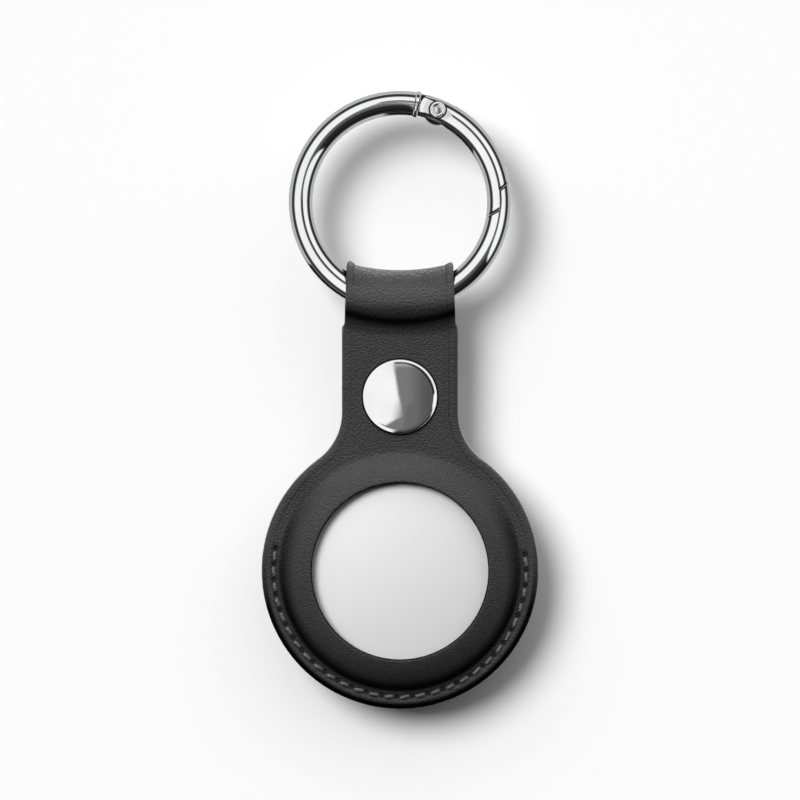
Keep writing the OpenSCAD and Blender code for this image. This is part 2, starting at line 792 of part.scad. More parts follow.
module tag_battery_contacts() color([0.8, 0.66, 0.35]) tag_frame()
    for (i = [0 : 2])
        rotate([0, 0, 120 * i + 90]) translate([contact_r, 0, 0])
            translate([-contact_l / 2, -contact_w / 2, cell_z + cell_t])
                cube([contact_l, contact_w, board_seat_z - board_t - cell_z - cell_t]);

module tag_speaker() color([0.35, 0.35, 0.36]) tag_frame() {
    magnet_z = board_seat_z - board_t;
    translate([0, 0, magnet_z]) cylinder(d = magnet_d, h = magnet_t);
}

echo(gate_spring_gap = coil_pitch_gap());

ring_body();
hinge_rivet();
ring_gate();
gate_spring();
spring_plunger();
strap_loop();
front_outer_leather();
front_lining();
back_outer_leather();
back_lining();
front_seam_thread();
back_seam_thread();
snap_cap();
snap_socket();
snap_spring();
flap_outer_leather();
flap_lining();
snap_post_cap();
snap_stud();
tag_shell();
tag_back_cover();
tag_battery();
tag_battery_contacts();
tag_circuit_board();
tag_speaker();
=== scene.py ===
# %% [markdown]
# # A leather holder for a round tag
#
# The real object is a small key holder: two layers of black leather hold a round tag between
# them, a loop of the same leather hangs on a chromed ring with a spring gate, and a snap closes
# the flap at the back. This lesson dresses a finished CAD model of it. The CAD part is loaded
# first as a fixed frame. Every piece that is made here rides on one of its bodies, so the pictures
# and the moving model stay in step, except the two leather pieces, which span two bodies and are
# baked in place.

# %% Load the frame
import math
import bpy
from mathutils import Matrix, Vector


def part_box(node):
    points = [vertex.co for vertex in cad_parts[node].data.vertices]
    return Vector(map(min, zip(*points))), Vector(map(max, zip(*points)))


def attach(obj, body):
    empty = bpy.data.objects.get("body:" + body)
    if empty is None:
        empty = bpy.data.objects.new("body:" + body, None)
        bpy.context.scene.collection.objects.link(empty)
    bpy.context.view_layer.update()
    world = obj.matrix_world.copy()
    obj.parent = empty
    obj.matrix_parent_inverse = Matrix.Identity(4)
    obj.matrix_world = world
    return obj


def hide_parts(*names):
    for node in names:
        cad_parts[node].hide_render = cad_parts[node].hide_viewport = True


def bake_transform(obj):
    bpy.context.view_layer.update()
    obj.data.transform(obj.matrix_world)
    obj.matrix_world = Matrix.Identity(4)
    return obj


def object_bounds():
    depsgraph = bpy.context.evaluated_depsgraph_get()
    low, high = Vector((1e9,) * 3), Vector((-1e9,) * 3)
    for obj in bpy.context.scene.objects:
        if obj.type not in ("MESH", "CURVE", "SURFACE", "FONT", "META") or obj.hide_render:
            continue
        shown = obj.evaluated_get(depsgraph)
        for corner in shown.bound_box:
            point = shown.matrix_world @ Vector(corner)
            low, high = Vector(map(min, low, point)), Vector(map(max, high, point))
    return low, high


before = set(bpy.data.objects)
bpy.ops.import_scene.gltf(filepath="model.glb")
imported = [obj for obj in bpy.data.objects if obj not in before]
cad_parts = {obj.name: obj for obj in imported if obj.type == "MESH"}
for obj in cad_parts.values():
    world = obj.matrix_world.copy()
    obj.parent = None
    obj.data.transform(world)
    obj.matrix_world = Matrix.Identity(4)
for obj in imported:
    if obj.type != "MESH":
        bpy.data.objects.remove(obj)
cad_box = [list(corner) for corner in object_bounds()]

# %% [markdown]
# ## Sizes
#
# Blender works in metres here, and the holder is 97 mm tall, so sizes are written in millimetres
# times `mm`. The numbers are those of the CAD part: the ring's centre is the origin, Z is up, and
# the front of the holder looks towards -Y. Names that end in `drop` are heights below the ring's
# centre, and angles on the ring are measured from its top, in degrees.

# %% Sizes of the real holder
mm = 0.001
ring_r, wire_w, wire_depth = 15.625 * mm, 3.75 * mm, 4.3 * mm
strap_w, body_r, neck_r, window_r = 18.3 * mm, 21.8 * mm, 9.1 * mm, 13.85 * mm
tag_drop, snap_drop, fold_drop = 58 * mm, 30.6 * mm, 38.5 * mm
front_y, mid_y, back_y = -0.9 * mm, 0.9 * mm, 2.7 * mm
tag_centre = Vector((0, mid_y, -tag_drop))
seam_r, stitch_count = 19.85 * mm, 28
seam_left, seam_right = math.radians(100), math.radians(97.3)
hinge_at, outer_step_at, inner_step_at = 22.3, 83.5, 94.5
hinge_angle = math.radians(hinge_at)
pin = Vector((ring_r * math.sin(hinge_angle), 0, ring_r * math.cos(hinge_angle)))
outer_step_r = 2 * ring_r * math.sin((math.radians(outer_step_at) - hinge_angle) / 2)
inner_step_r = 2 * ring_r * math.sin((math.radians(inner_step_at) - hinge_angle) / 2)
print("hinge pin at", [round(v / mm, 2) for v in pin], "mm")

# %% [markdown]
# ## Camera
#
# The photograph looks square at the front from far away, so the wire and the leather show almost
# no perspective. A long lens from 0.7 m does the same. Loading leaves the CAD pieces selected, so
# everything is deselected before anything is added, here and below.

# %% Camera
def deselect():
    bpy.ops.object.select_all(action="DESELECT")


centre = (Vector(cad_box[0]) + Vector(cad_box[1])) / 2
camera_away = 0.7
deselect()
bpy.ops.object.camera_add(location=(0, -camera_away, centre.z), rotation=(math.pi / 2, 0, 0))
camera = bpy.context.object
camera.data.lens = 200
camera.data.clip_start, camera.data.clip_end = 0.01, 10
bpy.context.scene.camera = camera
view_height = camera_away * camera.data.sensor_width / camera.data.lens
print("view height at the holder:", round(view_height / mm, 1), "mm")

# %% [markdown]
# ## Helpers for node trees
#
# Materials and the sky are both made of small sums over the surface or over directions. One helper
# adds a node and wires its sockets. The others use it for sums and products, for soft steps and
# lines, and for a mix of two colours.

# %% Nodes, sums and soft steps
def wire_up(tree, kind, values=None, **settings):
    node = tree.nodes.new("ShaderNode" + kind)
    for key, value in settings.items():
        setattr(node, key, value)
    for key, value in (values or {}).items():
        if isinstance(value, bpy.types.NodeSocket):
            tree.links.new(value, node.inputs[key])
        else:
            node.inputs[key].default_value = value
    return node


def calc(tree, kind, a, b=0.0, c=0.0, clamp=False):
    return wire_up(tree, "Math", {0: a, 1: b, 2: c}, operation=kind, use_clamp=clamp).outputs[0]


def linear(tree, value, slope, start):
    return calc(tree, "MULTIPLY_ADD", value, slope, start)


def times(tree, product, *factors):
    for factor in factors:
        product = calc(tree, "MULTIPLY", product, factor)
    return product


def most(tree, largest, *others):
    for other in others:
        largest = calc(tree, "MAXIMUM", largest, other)
    return largest


def off(tree, value, middle):
    """How far a value is from the middle, to either side."""
    return calc(tree, "ABSOLUTE", calc(tree, "SUBTRACT", value, middle))


def ramp(tree, value, low, high, to_low=0.0, to_high=1.0):
    """A soft step: to_low up to low, to_high from high on."""
    values = {"Value": value, "From Min": low, "From Max": high, "To Min": to_low, "To Max": to_high}
    return wire_up(tree, "MapRange", values, interpolation_type="SMOOTHSTEP").outputs[0]


def fall(tree, value, low, high, level=1.0):
    """A soft step down: level up to low, nothing from high on."""
    return ramp(tree, value, low, high, level, 0.0)


def near(tree, value, middle, inner, outer, level=1.0):
    """A soft line: level within inner of the middle, fading to nothing at outer."""
    return fall(tree, off(tree, value, middle), inner, outer, level)


def mixed(tree, factor, a, b):
    values = {"Factor": factor, "A": a, "B": b}
    return wire_up(tree, "Mix", values, data_type="RGBA").outputs["Result"]


# %% [markdown]
# ## Floor and backdrop
#
# The photograph is lit on white, with a soft grey shadow to the lower right. A white sheet close
# behind the holder catches that shadow. It is one-sided and shows only when it is looked at
# squarely, so the holder can be seen from all sides, and it doesn't stand in the way of the
# light. A second sheet does the same in front for the view of the back, and a pale floor lies well
# below.

# %% Paper for the sheets and the floor
def sheet_material(name, level, one_sided):
    paper = bpy.data.materials.new(name)
    paper.use_nodes = True
    tree = paper.node_tree
    tree.nodes.clear()
    surface = wire_up(tree, "BsdfDiffuse", {"Color": (level, level, level, 1)}).outputs[0]
    if one_sided:
        slant = wire_up(tree, "LayerWeight").outputs["Facing"]
        fade = wire_up(tree, "MapRange", {"Value": slant, "From Min": 0.07, "From Max": 0.14})
        behind = wire_up(tree, "NewGeometry").outputs["Backfacing"]
        hidden = most(tree, behind, fade.outputs[0])
        clear = wire_up(tree, "BsdfTransparent").outputs[0]
        surface = wire_up(tree, "MixShader", {0: hidden, 1: surface, 2: clear}).outputs[0]
    wire_up(tree, "OutputMaterial", {0: surface})
    return paper


# %% Sheets and floor
def stage_sheet(name, size, place, turn, paper):
    deselect()
    bpy.ops.mesh.primitive_plane_add(size=size, location=place, rotation=turn)
    sheet = bpy.context.object
    sheet.name = name
    bpy.ops.object.transform_apply(location=True, rotation=True, scale=True)
    sheet.data.materials.append(paper)
    sheet.visible_diffuse = sheet.visible_glossy = False
    return sheet


upright = math.pi / 2
white, white_too = [sheet_material(name, 0.92, True) for name in ("white_sheet", "white_sheet_in_front")]
backdrop = stage_sheet("backdrop", 1.6, (0, 8.4 * mm, -0.05), (upright, 0, 0), white)
front_sheet = stage_sheet("front_sheet", 1.6, (0, -6.8 * mm, -0.05), (-upright, 0, 0), white_too)
floor = stage_sheet("floor", 4.0, (0, 0, -0.16), (0, 0, 0), sheet_material("pale_floor", 0.9, False))
backdrop.visible_shadow = front_sheet.visible_shadow = False
print("stage:", backdrop.name, front_sheet.name, floor.name)

# %% [markdown]
# ## Light
#
# Chrome shows nothing but what stands round it. The ring in the photograph has white bands with
# thin dark lines between them, so there is a white tent round the camera with a narrow grey gap
# beside the lens, and a dark stretch low on the right. The world is painted that way from the
# direction that each ray goes, in plain numbers. A soft sun from the upper left draws the shadow
# on the sheet, and a higher one lights the holder itself, as with flags in a studio.

# %% Directions in the room
world = bpy.data.worlds.new("studio")
bpy.context.scene.world = world
world.use_nodes = True
sky = world.node_tree
sky.nodes.clear()
ray = wire_up(sky, "TexCoord").outputs["Generated"]
right, back, up = wire_up(sky, "SeparateXYZ", {0: ray}).outputs
forward, below = times(sky, back, -1.0), times(sky, up, -1.0)
from_front = calc(sky, "ARCCOSINE", forward)
off_axis = calc(sky, "ARCCOSINE", calc(sky, "ABSOLUTE", back))
# The tent is the same for a lens in front and one behind, so right and left change over
beside = times(sky, right, calc(sky, "SIGN", forward))

# %% Grey gap beside the lens
# Its edge is a nearly upright line, which turns off to the lower left
slanted = linear(sky, up, 0.16, beside)
slanted = linear(sky, ramp(sky, back, -0.1, 0.1), 0.12, slanted)
low_left = calc(sky, "SUBTRACT", linear(sky, beside, 0.625, -0.11), up)
gap = most(sky, ramp(sky, slanted, -0.02, 0.004), ramp(sky, low_left, -0.01, 0.015))
outer = ramp(sky, off_axis, 0.2, 0.25)
reach = linear(sky, times(sky, ramp(sky, up, 0.0, 0.05), outer), -0.12, off_axis)
within_reach = fall(sky, reach, 0.24, 0.34)
under_top = fall(sky, linear(sky, outer, -0.2, up), 0.16, 0.22)
depth = linear(sky, ramp(sky, beside, 0.03, 0.17), 0.1, 0.8)
depth = linear(sky, outer, 0.08, depth)
gap = times(sky, gap, within_reach, under_top, depth)

# %% Dark stretch and far side
# The stretch lies below and to the right, and turns black further out
slope = calc(sky, "ADD", linear(sky, beside, -0.864, 0.19), below)
right_of = ramp(sky, linear(sky, below, 0.2, beside), -0.04, 0.06)
blacker = linear(sky, ramp(sky, off_axis, 0.15, 0.6), 0.14, 0.84)
low_right = times(sky, ramp(sky, below, 0.0, 0.05), fall(sky, off_axis, 1.3, 1.45))
low_right = times(sky, low_right, ramp(sky, slope, -0.02, 0.04), right_of, blacker)
# The far side is pale grey, which shows as the wire's soft outer rim
far = times(sky, ramp(sky, from_front, 1.7, 1.86), 0.12, fall(sky, from_front, 2.7, 2.9))
dark = most(sky, gap, far, low_right)

# %% One strength for each kind of ray
tent = 1.3
mirrored = linear(sky, dark, -tent, tent)
# Matt things are lit from above, by a wide soft light
soft = linear(sky, ramp(sky, up, -0.1, 0.6), 1.27, 0.015)
seen = wire_up(sky, "LightPath").outputs
lit = wire_up(sky, "Mix", {"Factor": seen["Is Glossy Ray"], "A": soft, "B": mirrored})
lit = wire_up(sky, "Mix", {"Factor": seen["Is Camera Ray"], "A": lit.outputs[0], "B": 1.0})
glow = wire_up(sky, "Background", {"Strength": lit.outputs[0]})
wire_up(sky, "OutputWorld", {0: glow.outputs[0]})
bpy.context.scene.view_settings.view_transform = "Standard"
print("world nodes:", len(sky.nodes))

# %% Suns for the shadow and the holder, each with one behind for the back view
def sun(name, towards, strength, spread):
    deselect()
    bpy.ops.object.light_add(type="SUN", location=(0, 0, 0.2))
    lamp = bpy.context.object
    lamp.name = name
    lamp.data.energy, lamp.data.angle = strength, math.radians(spread)
    lamp.rotation_mode = "QUATERNION"
    lamp.rotation_quaternion = Vector(towards).to_track_quat("-Z", "Y")
    return lamp


shadow_sun = sun("shadow_sun", (0.55, 1.0, -0.45), 2.7, 32)
back_shadow_sun = sun("back_shadow_sun", (-0.55, -1.0, -0.45), 2.7, 32)
key_sun = sun("key_sun", (0.16, 0.53, -0.83), 3.35, 26)
back_key_sun = sun("back_key_sun", (-0.16, -0.53, -0.83), 3.35, 26)
print("suns:", [lamp.name for lamp in (shadow_sun, back_shadow_sun, key_sun, back_key_sun)])

# %% [markdown]
# ## Shared finishes
#
# Leather and metal need small irregularities. Each effect is a node group with its own inputs,
# which puts out only masks or heights. The shader itself stays in each material.

# %% Start a node group
def new_group(name, inputs, outputs):
    group = bpy.data.node_groups.new(name, "ShaderNodeTree")
    for label, kind, value in inputs:
        socket = group.interface.new_socket(name=label, in_out="INPUT", socket_type=kind)
        if value is not None:
            socket.default_value = value
    for label in outputs:
        group.interface.new_socket(name=label, in_out="OUTPUT", socket_type="NodeSocketFloat")
    return group, group.nodes.new("NodeGroupInput").outputs, group.nodes.new("NodeGroupOutput").inputs


def vector_sum(tree, kind, a, b):
    return wire_up(tree, "VectorMath", {0: a, 1: b}, operation=kind).outputs[0]


def noise(tree, place, scale, detail):
    return wire_up(tree, "TexNoise", {"Vector": place, "Scale": scale, "Detail": detail}).outputs


# %% Pebble grain of pressed leather
place_input = ("Place", "NodeSocketVector", None)
pebble_size = ("Pebble mm", "NodeSocketFloat", 0.38)
grain, g_in, g_out = new_group("pebble_grain", [place_input, pebble_size], ("Height", "Crease", "Mottle"))
wobble = noise(grain, g_in["Place"], 900.0, 2.0)["Color"]
shift = wire_up(grain, "VectorMath", {0: wobble, 3: 0.0006}, operation="SCALE").outputs[0]
place = vector_sum(grain, "ADD", g_in["Place"], shift)
place = vector_sum(grain, "MULTIPLY", place, (0.85, 1.0, 1.2))
cell_values = {"Vector": place, "Scale": calc(grain, "DIVIDE", 1000.0, g_in["Pebble mm"])}
cells = wire_up(grain, "TexVoronoi", cell_values, feature="SMOOTH_F1")
cells.inputs["Smoothness"].default_value = 0.5
edges = wire_up(grain, "TexVoronoi", cell_values, feature="DISTANCE_TO_EDGE")
broad = noise(grain, g_in["Place"], 160.0, 3.0)["Fac"]
dome = fall(grain, cells.outputs["Distance"], 0.0, 0.7)
crease = fall(grain, edges.outputs["Distance"], 0.0, 0.16)
tall = linear(grain, noise(grain, place, 4800.0, 3.0)["Fac"], 0.45, dome)
tall = linear(grain, crease, -0.35, tall)
tall = linear(grain, broad, 0.6, tall)
for label, value in (("Height", tall), ("Crease", crease), ("Mottle", broad)):
    grain.links.new(value, g_out[label])
print("leather grain group:", len(grain.nodes), "nodes")

# %% Polish marks of metal
mark_size = ("Size mm", "NodeSocketFloat", 6.0)
polish, p_in, p_out = new_group("polish_marks", [place_input, mark_size], ("Haze", "Ripple"))
scale = calc(polish, "DIVIDE", 1000.0, p_in["Size mm"])
haze = noise(polish, p_in["Place"], scale, 5.0)["Fac"]
fine = noise(polish, p_in["Place"], times(polish, scale, 9.0), 2.0)["Fac"]
polish.links.new(ramp(polish, haze, 0.35, 0.7), p_out["Haze"])
polish.links.new(fine, p_out["Ripple"])
print("polish group:", len(polish.nodes), "nodes")


# %% Start a material with a Principled shader, and finish it
def new_finish(name, placed_by=None):
    """A new material, its tree and shader, and the place of each point: in the object, or an attribute."""
    finish = bpy.data.materials.new(name)
    finish.use_nodes = True
    tree = finish.node_tree
    tree.nodes.clear()
    skin = wire_up(tree, "BsdfPrincipled")
    wire_up(tree, "OutputMaterial", {0: skin.outputs[0]})
    if placed_by is None:
        return finish, tree, skin, wire_up(tree, "TexCoord").outputs["Object"]
    spot = wire_up(tree, "Attribute", attribute_name=placed_by).outputs["Vector"]
    return finish, tree, skin, spot


def dress(tree, skin, colour, rough, height, strength, depth_mm):
    """Wires a colour, a roughness and a fine relief to the shader."""
    values = {"Strength": strength, "Distance": depth_mm * mm, "Height": height}
    relief = wire_up(tree, "Bump", values).outputs[0]
    for socket, value in (("Base Color", colour), ("Roughness", rough), ("Normal", relief)):
        tree.links.new(value, skin.inputs[socket])


def grey(level):
    return (level, level, level * 1.01, 1)


# %% [markdown]
# ## Leather finish
#
# The holder is black pressed leather: fine pebbles about 0.4 mm across, creased lines pressed in
# along the upper edges, and edges painted in a smoother, lighter grey. Five float attributes on each
# leather piece guide it. `edge_mm` and `inset_mm` say how far a point is from the cut edge,
# `window_mm` how far from the window, `line_here` where the lines show, and the fifth holds painted
# shade: black in folds, along the lower border and under the loop. Below nought it holds painted
# light, which makes the loop's top paler. The vector `rest_place` is each point's place at rest, so
# the grain stays put when the leather bends. The seam's needle holes are worked out from the angle
# round the tag. Painted shade also darkens the needle holes and their groove, a thin line at the
# window's edge and a ring round the snap's cap.

# %% Masks for the seam, the lines and the painted shade
def attribute(tree, name):
    return wire_up(tree, "Attribute", attribute_name=name).outputs["Fac"]


def from_axis_mm(tree, spot, place):
    """Distance in mm from the line through a place, from front to back."""
    away = vector_sum(tree, "SUBTRACT", spot, tuple(place))
    away = vector_sum(tree, "MULTIPLY", away, (1000, 0, 1000))
    return wire_up(tree, "VectorMath", {0: away}, operation="LENGTH").outputs["Value"]


def seam_marks(tree, spot):
    """Masks of the needle holes, and of the shallow groove that they stand in."""
    x, _, z = wire_up(tree, "SeparateXYZ", {0: spot}).outputs
    down = times(tree, calc(tree, "ADD", z, tag_drop), -1.0)
    turn = calc(tree, "ARCTAN2", times(tree, x, -1.0), down)
    seam_angle = seam_left + seam_right
    share = calc(tree, "DIVIDE", calc(tree, "SUBTRACT", turn, seam_left), -seam_angle)
    count = times(tree, share, float(stitch_count))
    nearest = off(tree, count, calc(tree, "ROUND", count))
    along = times(tree, nearest, seam_angle * seam_r / mm / stitch_count)
    across = calc(tree, "SUBTRACT", from_axis_mm(tree, spot, tag_centre), seam_r / mm)
    gap_mm = calc(tree, "ADD", times(tree, along, along), times(tree, across, across))
    inside = calc(tree, "LESS_THAN", off(tree, share, 0.5), 0.5 + 0.4 / stitch_count)
    hole = times(tree, fall(tree, calc(tree, "SQRT", gap_mm), 0.25, 0.6), inside)
    return hole, times(tree, near(tree, across, 0.0, 0.2, 0.75), inside)


def border_lines(tree):
    inset = attribute(tree, "inset_mm")
    lines = most(tree, near(tree, inset, 1.45, 0.03, 0.2, 0.6), near(tree, inset, 2.1, 0.03, 0.2, 0.25))
    return times(tree, lines, attribute(tree, "line_here"))


def painted_cap_shadow(tree, spot, cap_r_mm, facing, face_mm):
    """Painted shadow: black round the snap's cap, on the outer face only."""
    cap_mm = from_axis_mm(tree, spot, (0, 0, -snap_drop))
    outwards = times(tree, wire_up(tree, "SeparateXYZ", {0: spot}).outputs[1], float(facing))
    on_face = calc(tree, "GREATER_THAN", outwards, face_mm * mm)
    return times(tree, fall(tree, cap_mm, cap_r_mm + 0.1, cap_r_mm + 0.35, 0.9), on_face)


# %% Leather materials
def leather_finish(name, cap_r_mm, facing, face_mm):
    """facing is -1 for the front piece and 1 for the back one, face_mm where its outer face begins."""
    finish, tree, skin, spot = new_finish(name, placed_by="rest_place")
    pebbles = wire_up(tree, "Group", {"Place": spot}, node_tree=grain).outputs
    lines = border_lines(tree)
    paint = fall(tree, attribute(tree, "edge_mm"), 0.08, 0.22)
    pressed = attribute(tree, "pressed")
    # A thin black line of painted shade along the window's edge
    painted_window_shade = fall(tree, attribute(tree, "window_mm"), 0.05, 0.22)
    # Black here is painted shade: at the window's edge, round the cap, and where the attribute holds it
    black = most(tree, painted_window_shade, painted_cap_shadow(tree, spot, cap_r_mm, facing, face_mm), pressed)
    hole, groove = seam_marks(tree, spot)
    colour = mixed(tree, pebbles["Mottle"], grey(0.034), grey(0.06))
    colour = mixed(tree, most(tree, times(tree, pebbles["Crease"], 0.4), lines), colour, grey(0.015))
    colour = mixed(tree, paint, colour, grey(0.19))
    # Painted light: the loop's top over the wire is made a little paler, where the light falls on it
    colour = mixed(tree, fall(tree, pressed, -1.0, 0.0), colour, grey(0.095))
    colour = mixed(tree, black, colour, grey(0.003))
    # The needle holes and their groove are painted dark: painted shade in hollows that the mesh doesn't have
    colour = mixed(tree, most(tree, hole, times(tree, groove, 0.5)), colour, grey(0.004))
    height = linear(tree, lines, -1.6, pebbles["Height"])
    height = times(tree, height, linear(tree, paint, -0.85, 1.0))
    for mark in (hole, groove):
        height = linear(tree, mark, -2.2, height)
    rough = linear(tree, pebbles["Mottle"], 0.22, 0.4)
    rough = linear(tree, paint, -0.12, rough)
    tree.links.new(fall(tree, black, 0.0, 1.0, 0.13), skin.inputs["Specular IOR Level"])
    dress(tree, skin, colour, rough, height, 0.6, 0.11)
    return finish


front_black = leather_finish("black_leather_front", 5.85, -1, 0.5)
back_black = leather_finish("black_leather_back", 6.0, 1, 2.0)
print("leather finishes:", front_black.name, back_black.name)


# %% [markdown]
# ## Metal, thread and plastic
#
# Chrome is a mirror with a faint haze where fingers and polishing cloths have been. Where the
# wire turns away from the eye, Layer Weight paints a thin dark line and then a paler rim into the
# colour of the ring and the gate: painted reflections. Their joints get painted shade. The gate's
# hinge end is left matt by the casting, so its roughness rises near the pin. Steel inside is
# brushed, the thread is a waxed twist, and the tag is plain satin plastic.

# %% Painted shade in the ring's joints
def painted_joint_shade(tree, spot, part):
    """Painted shade in the joints: dark lines along the latch's steps, and dark at the hinge."""
    from_pin, from_centre = [from_axis_mm(tree, spot, place) for place in (pin, (0, 0, 0))]
    x, y, _ = wire_up(tree, "SeparateXYZ", {0: spot}).outputs
    outside = calc(tree, "GREATER_THAN", from_centre, ring_r / mm)
    outer_line = times(tree, near(tree, from_pin, outer_step_r / mm, 0.24, 0.38), outside)
    inner_line = near(tree, from_pin, inner_step_r / mm, 0.24, 0.38)
    inner_line = times(tree, inner_line, calc(tree, "SUBTRACT", 1.0, outside))
    lines = times(tree, most(tree, outer_line, inner_line), calc(tree, "GREATER_THAN", x, 8 * mm))
    if part == "gate":
        return most(tree, lines, near(tree, from_pin, 1.3, 0.13, 0.22, 0.95))
    in_slot = calc(tree, "LESS_THAN", calc(tree, "ABSOLUTE", y), 0.95 * mm)
    seat = times(tree, fall(tree, from_pin, 3.6, 3.7, 0.97), in_slot)
    return most(tree, lines, seat, fall(tree, from_pin, 2.86, 2.92, 0.95))


# %% Metal materials
def painted_edge_reflections(tree, colour):
    """Painted reflections where polished wire turns away: a dark line, then a pale rim."""
    slant = wire_up(tree, "LayerWeight", {"Blend": 0.5}).outputs["Facing"]
    dark_line = times(tree, ramp(tree, slant, 0.11, 0.18), fall(tree, slant, 0.32, 0.39), 0.97)
    colour = mixed(tree, dark_line, colour, grey(0.008))
    return mixed(tree, ramp(tree, slant, 0.35, 0.4), colour, grey(0.46))


def metal_finish(name, level, rough, haze_gain, wire=None):
    """Polished or brushed metal. The ring's wire and the gate's get painted shade in their joints and painted
    reflections along their edges.
    """
    finish, tree, skin, spot = new_finish(name)
    marks = wire_up(tree, "Group", {"Place": spot}, node_tree=polish).outputs
    colour = mixed(tree, marks["Haze"], grey(level), grey(level * 0.93))
    roughness = linear(tree, marks["Haze"], haze_gain, rough)
    if wire:
        # Painted shade in the joints
        colour = mixed(tree, painted_joint_shade(tree, spot, wire), colour, grey(0.03))
        # Painted reflections: a dark line and a pale rim where the wire turns away
        colour = painted_edge_reflections(tree, colour)
    if wire == "gate":
        matt = fall(tree, from_axis_mm(tree, spot, pin), 1.9, 2.6)
        roughness = linear(tree, matt, 0.3, roughness)
    dress(tree, skin, colour, roughness, marks["Ripple"], 0.05, 0.02)
    skin.inputs["Metallic"].default_value = 1.0
    return finish


chrome = metal_finish("chrome", 0.88, 0.03, 0.04, wire="ring")
gate_chrome = metal_finish("gate_chrome", 0.88, 0.03, 0.04, wire="gate")
rivet_metal = metal_finish("rivet_metal", 0.8, 0.12, 0.1)
snap_chrome = metal_finish("snap_chrome", 0.88, 0.03, 0.03)
post_chrome = metal_finish("post_chrome", 0.74, 0.05, 0.06)
inner_steel = metal_finish("inner_steel", 0.62, 0.25, 0.15)
cell_steel = metal_finish("cell_steel", 0.66, 0.3, 0.12)
magnet_metal = metal_finish("magnet_metal", 0.3, 0.35, 0.1)
print("metals ready")


# %% Thread, plastic and inner materials
def plain_finish(name, colour, rough, size_mm, depth_mm, metallic=0.0, spread=0.9):
    finish, tree, skin, spot = new_finish(name)
    specks = noise(tree, spot, 1000.0 / size_mm, 4.0)["Fac"]
    tone = mixed(tree, specks, (*colour, 1), (*[c * spread for c in colour], 1))
    dress(tree, skin, tone, linear(tree, specks, 0.12, rough), specks, 0.3, depth_mm)
    skin.inputs["Metallic"].default_value = metallic
    return finish


def thread_finish():
    finish, tree, skin, spot = new_finish("waxed_thread")
    x, y, z = wire_up(tree, "SeparateXYZ", {0: spot}).outputs
    slant = calc(tree, "ADD", calc(tree, "ADD", x, y), z)
    twist = calc(tree, "SINE", times(tree, slant, 14000.0))
    fuzz = noise(tree, spot, 5000.0, 3.0)["Fac"]
    tone = mixed(tree, calc(tree, "MULTIPLY_ADD", twist, 0.3, fuzz, clamp=True), grey(0.035), grey(0.14))
    dress(tree, skin, tone, linear(tree, fuzz, 0.2, 0.4), twist, 0.6, 0.08)
    return finish


thread = thread_finish()
tag_plastic = plain_finish("tag_plastic", (0.69, 0.69, 0.695), 0.42, 0.4, 0.01, spread=0.985)
board_green = plain_finish("board_green", (0.03, 0.14, 0.07), 0.45, 1.5, 0.01)
contact_brass = plain_finish("contact_brass", (0.8, 0.62, 0.3), 0.25, 0.8, 0.005, metallic=1.0)
print("thread and plastic ready")

# %% [markdown]
# ## Helpers for modelling
#
# These are the few moves that every piece needs: selecting it alone, cutting one solid with
# another, starting from a bar, a block or a turned outline, and telling the frame which body the
# finished piece rides on.

# %% Select, move, clean and cut
def apply_place():
    bpy.ops.object.transform_apply(location=True, rotation=True, scale=True)


def only(piece):
    if bpy.context.object and bpy.context.object.mode != "OBJECT":
        bpy.ops.object.mode_set(mode="OBJECT")
    deselect()
    piece.select_set(True)
    bpy.context.view_layer.objects.active = piece


def start_piece(name):
    piece = bpy.context.object
    piece.name = piece.data.name = name
    apply_place()
    return piece


def edit_all():
    bpy.ops.object.mode_set(mode="EDIT")
    bpy.ops.mesh.select_all(action="SELECT")


def clean_skin(piece, fill=False):
    """Merges doubles and turns all faces outwards, after filling the open ends if they are to close."""
    only(piece)
    edit_all()
    if fill:
        bpy.ops.mesh.fill_holes(sides=0)
        bpy.ops.mesh.select_all(action="SELECT")
    bpy.ops.mesh.remove_doubles(threshold=mm / 1000)
    bpy.ops.mesh.normals_make_consistent(inside=False)
    bpy.ops.object.mode_set(mode="OBJECT")


def apply_step(piece, kind, **settings):
    only(piece)
    step = piece.modifiers.new("step", kind)
    for key, value in settings.items():
        setattr(step, key, value)
    bpy.ops.object.modifier_apply(modifier=step.name)


def carve(piece, tool, how="DIFFERENCE"):
    apply_step(piece, "BOOLEAN", operation=how, solver="EXACT", object=tool)
    bpy.data.objects.remove(tool)


# %% Bars, blocks and turned pieces
def round_bar(name, r, depth, place, sides=128):
    deselect()
    lying = (math.pi / 2, 0, 0)
    bpy.ops.mesh.primitive_cylinder_add(vertices=sides, radius=r, depth=depth, location=place, rotation=lying)
    return start_piece(name)


def block(name, low, high, turn=(0, 0, 0)):
    """A box between two corners in mm, turned about the origin."""
    deselect()
    middle = [(a + b) / 2 * mm for a, b in zip(low, high)]
    bpy.ops.mesh.primitive_cube_add(size=1, location=middle)
    bpy.context.object.scale = [(b - a) * mm for a, b in zip(low, high)]
    piece = start_piece(name)
    piece.rotation_euler = turn
    apply_place()
    return piece


def turned(name, rings, place, sides=96, ends=True):
    """A round piece about the Y axis. Each ring is a radius and a height towards the front, in mm."""
    deselect()
    (first_r, first_h), lying = rings[0], (math.pi / 2, 0, 0)
    start = Vector(place) - Vector((0, first_h * mm, 0))
    bpy.ops.mesh.primitive_circle_add(vertices=sides, radius=first_r * mm, location=start, rotation=lying)
    piece = start_piece(name)
    edit_all()
    for (r0, h0), (r1, h1) in zip(rings, rings[1:]):
        bpy.ops.mesh.extrude_region_move(TRANSFORM_OT_translate={"value": (0, -(h1 - h0) * mm, 0)})
        bpy.ops.transform.resize(value=(r1 / r0, 1, r1 / r0), center_override=tuple(place))
    clean_skin(piece, fill=ends)
    return piece


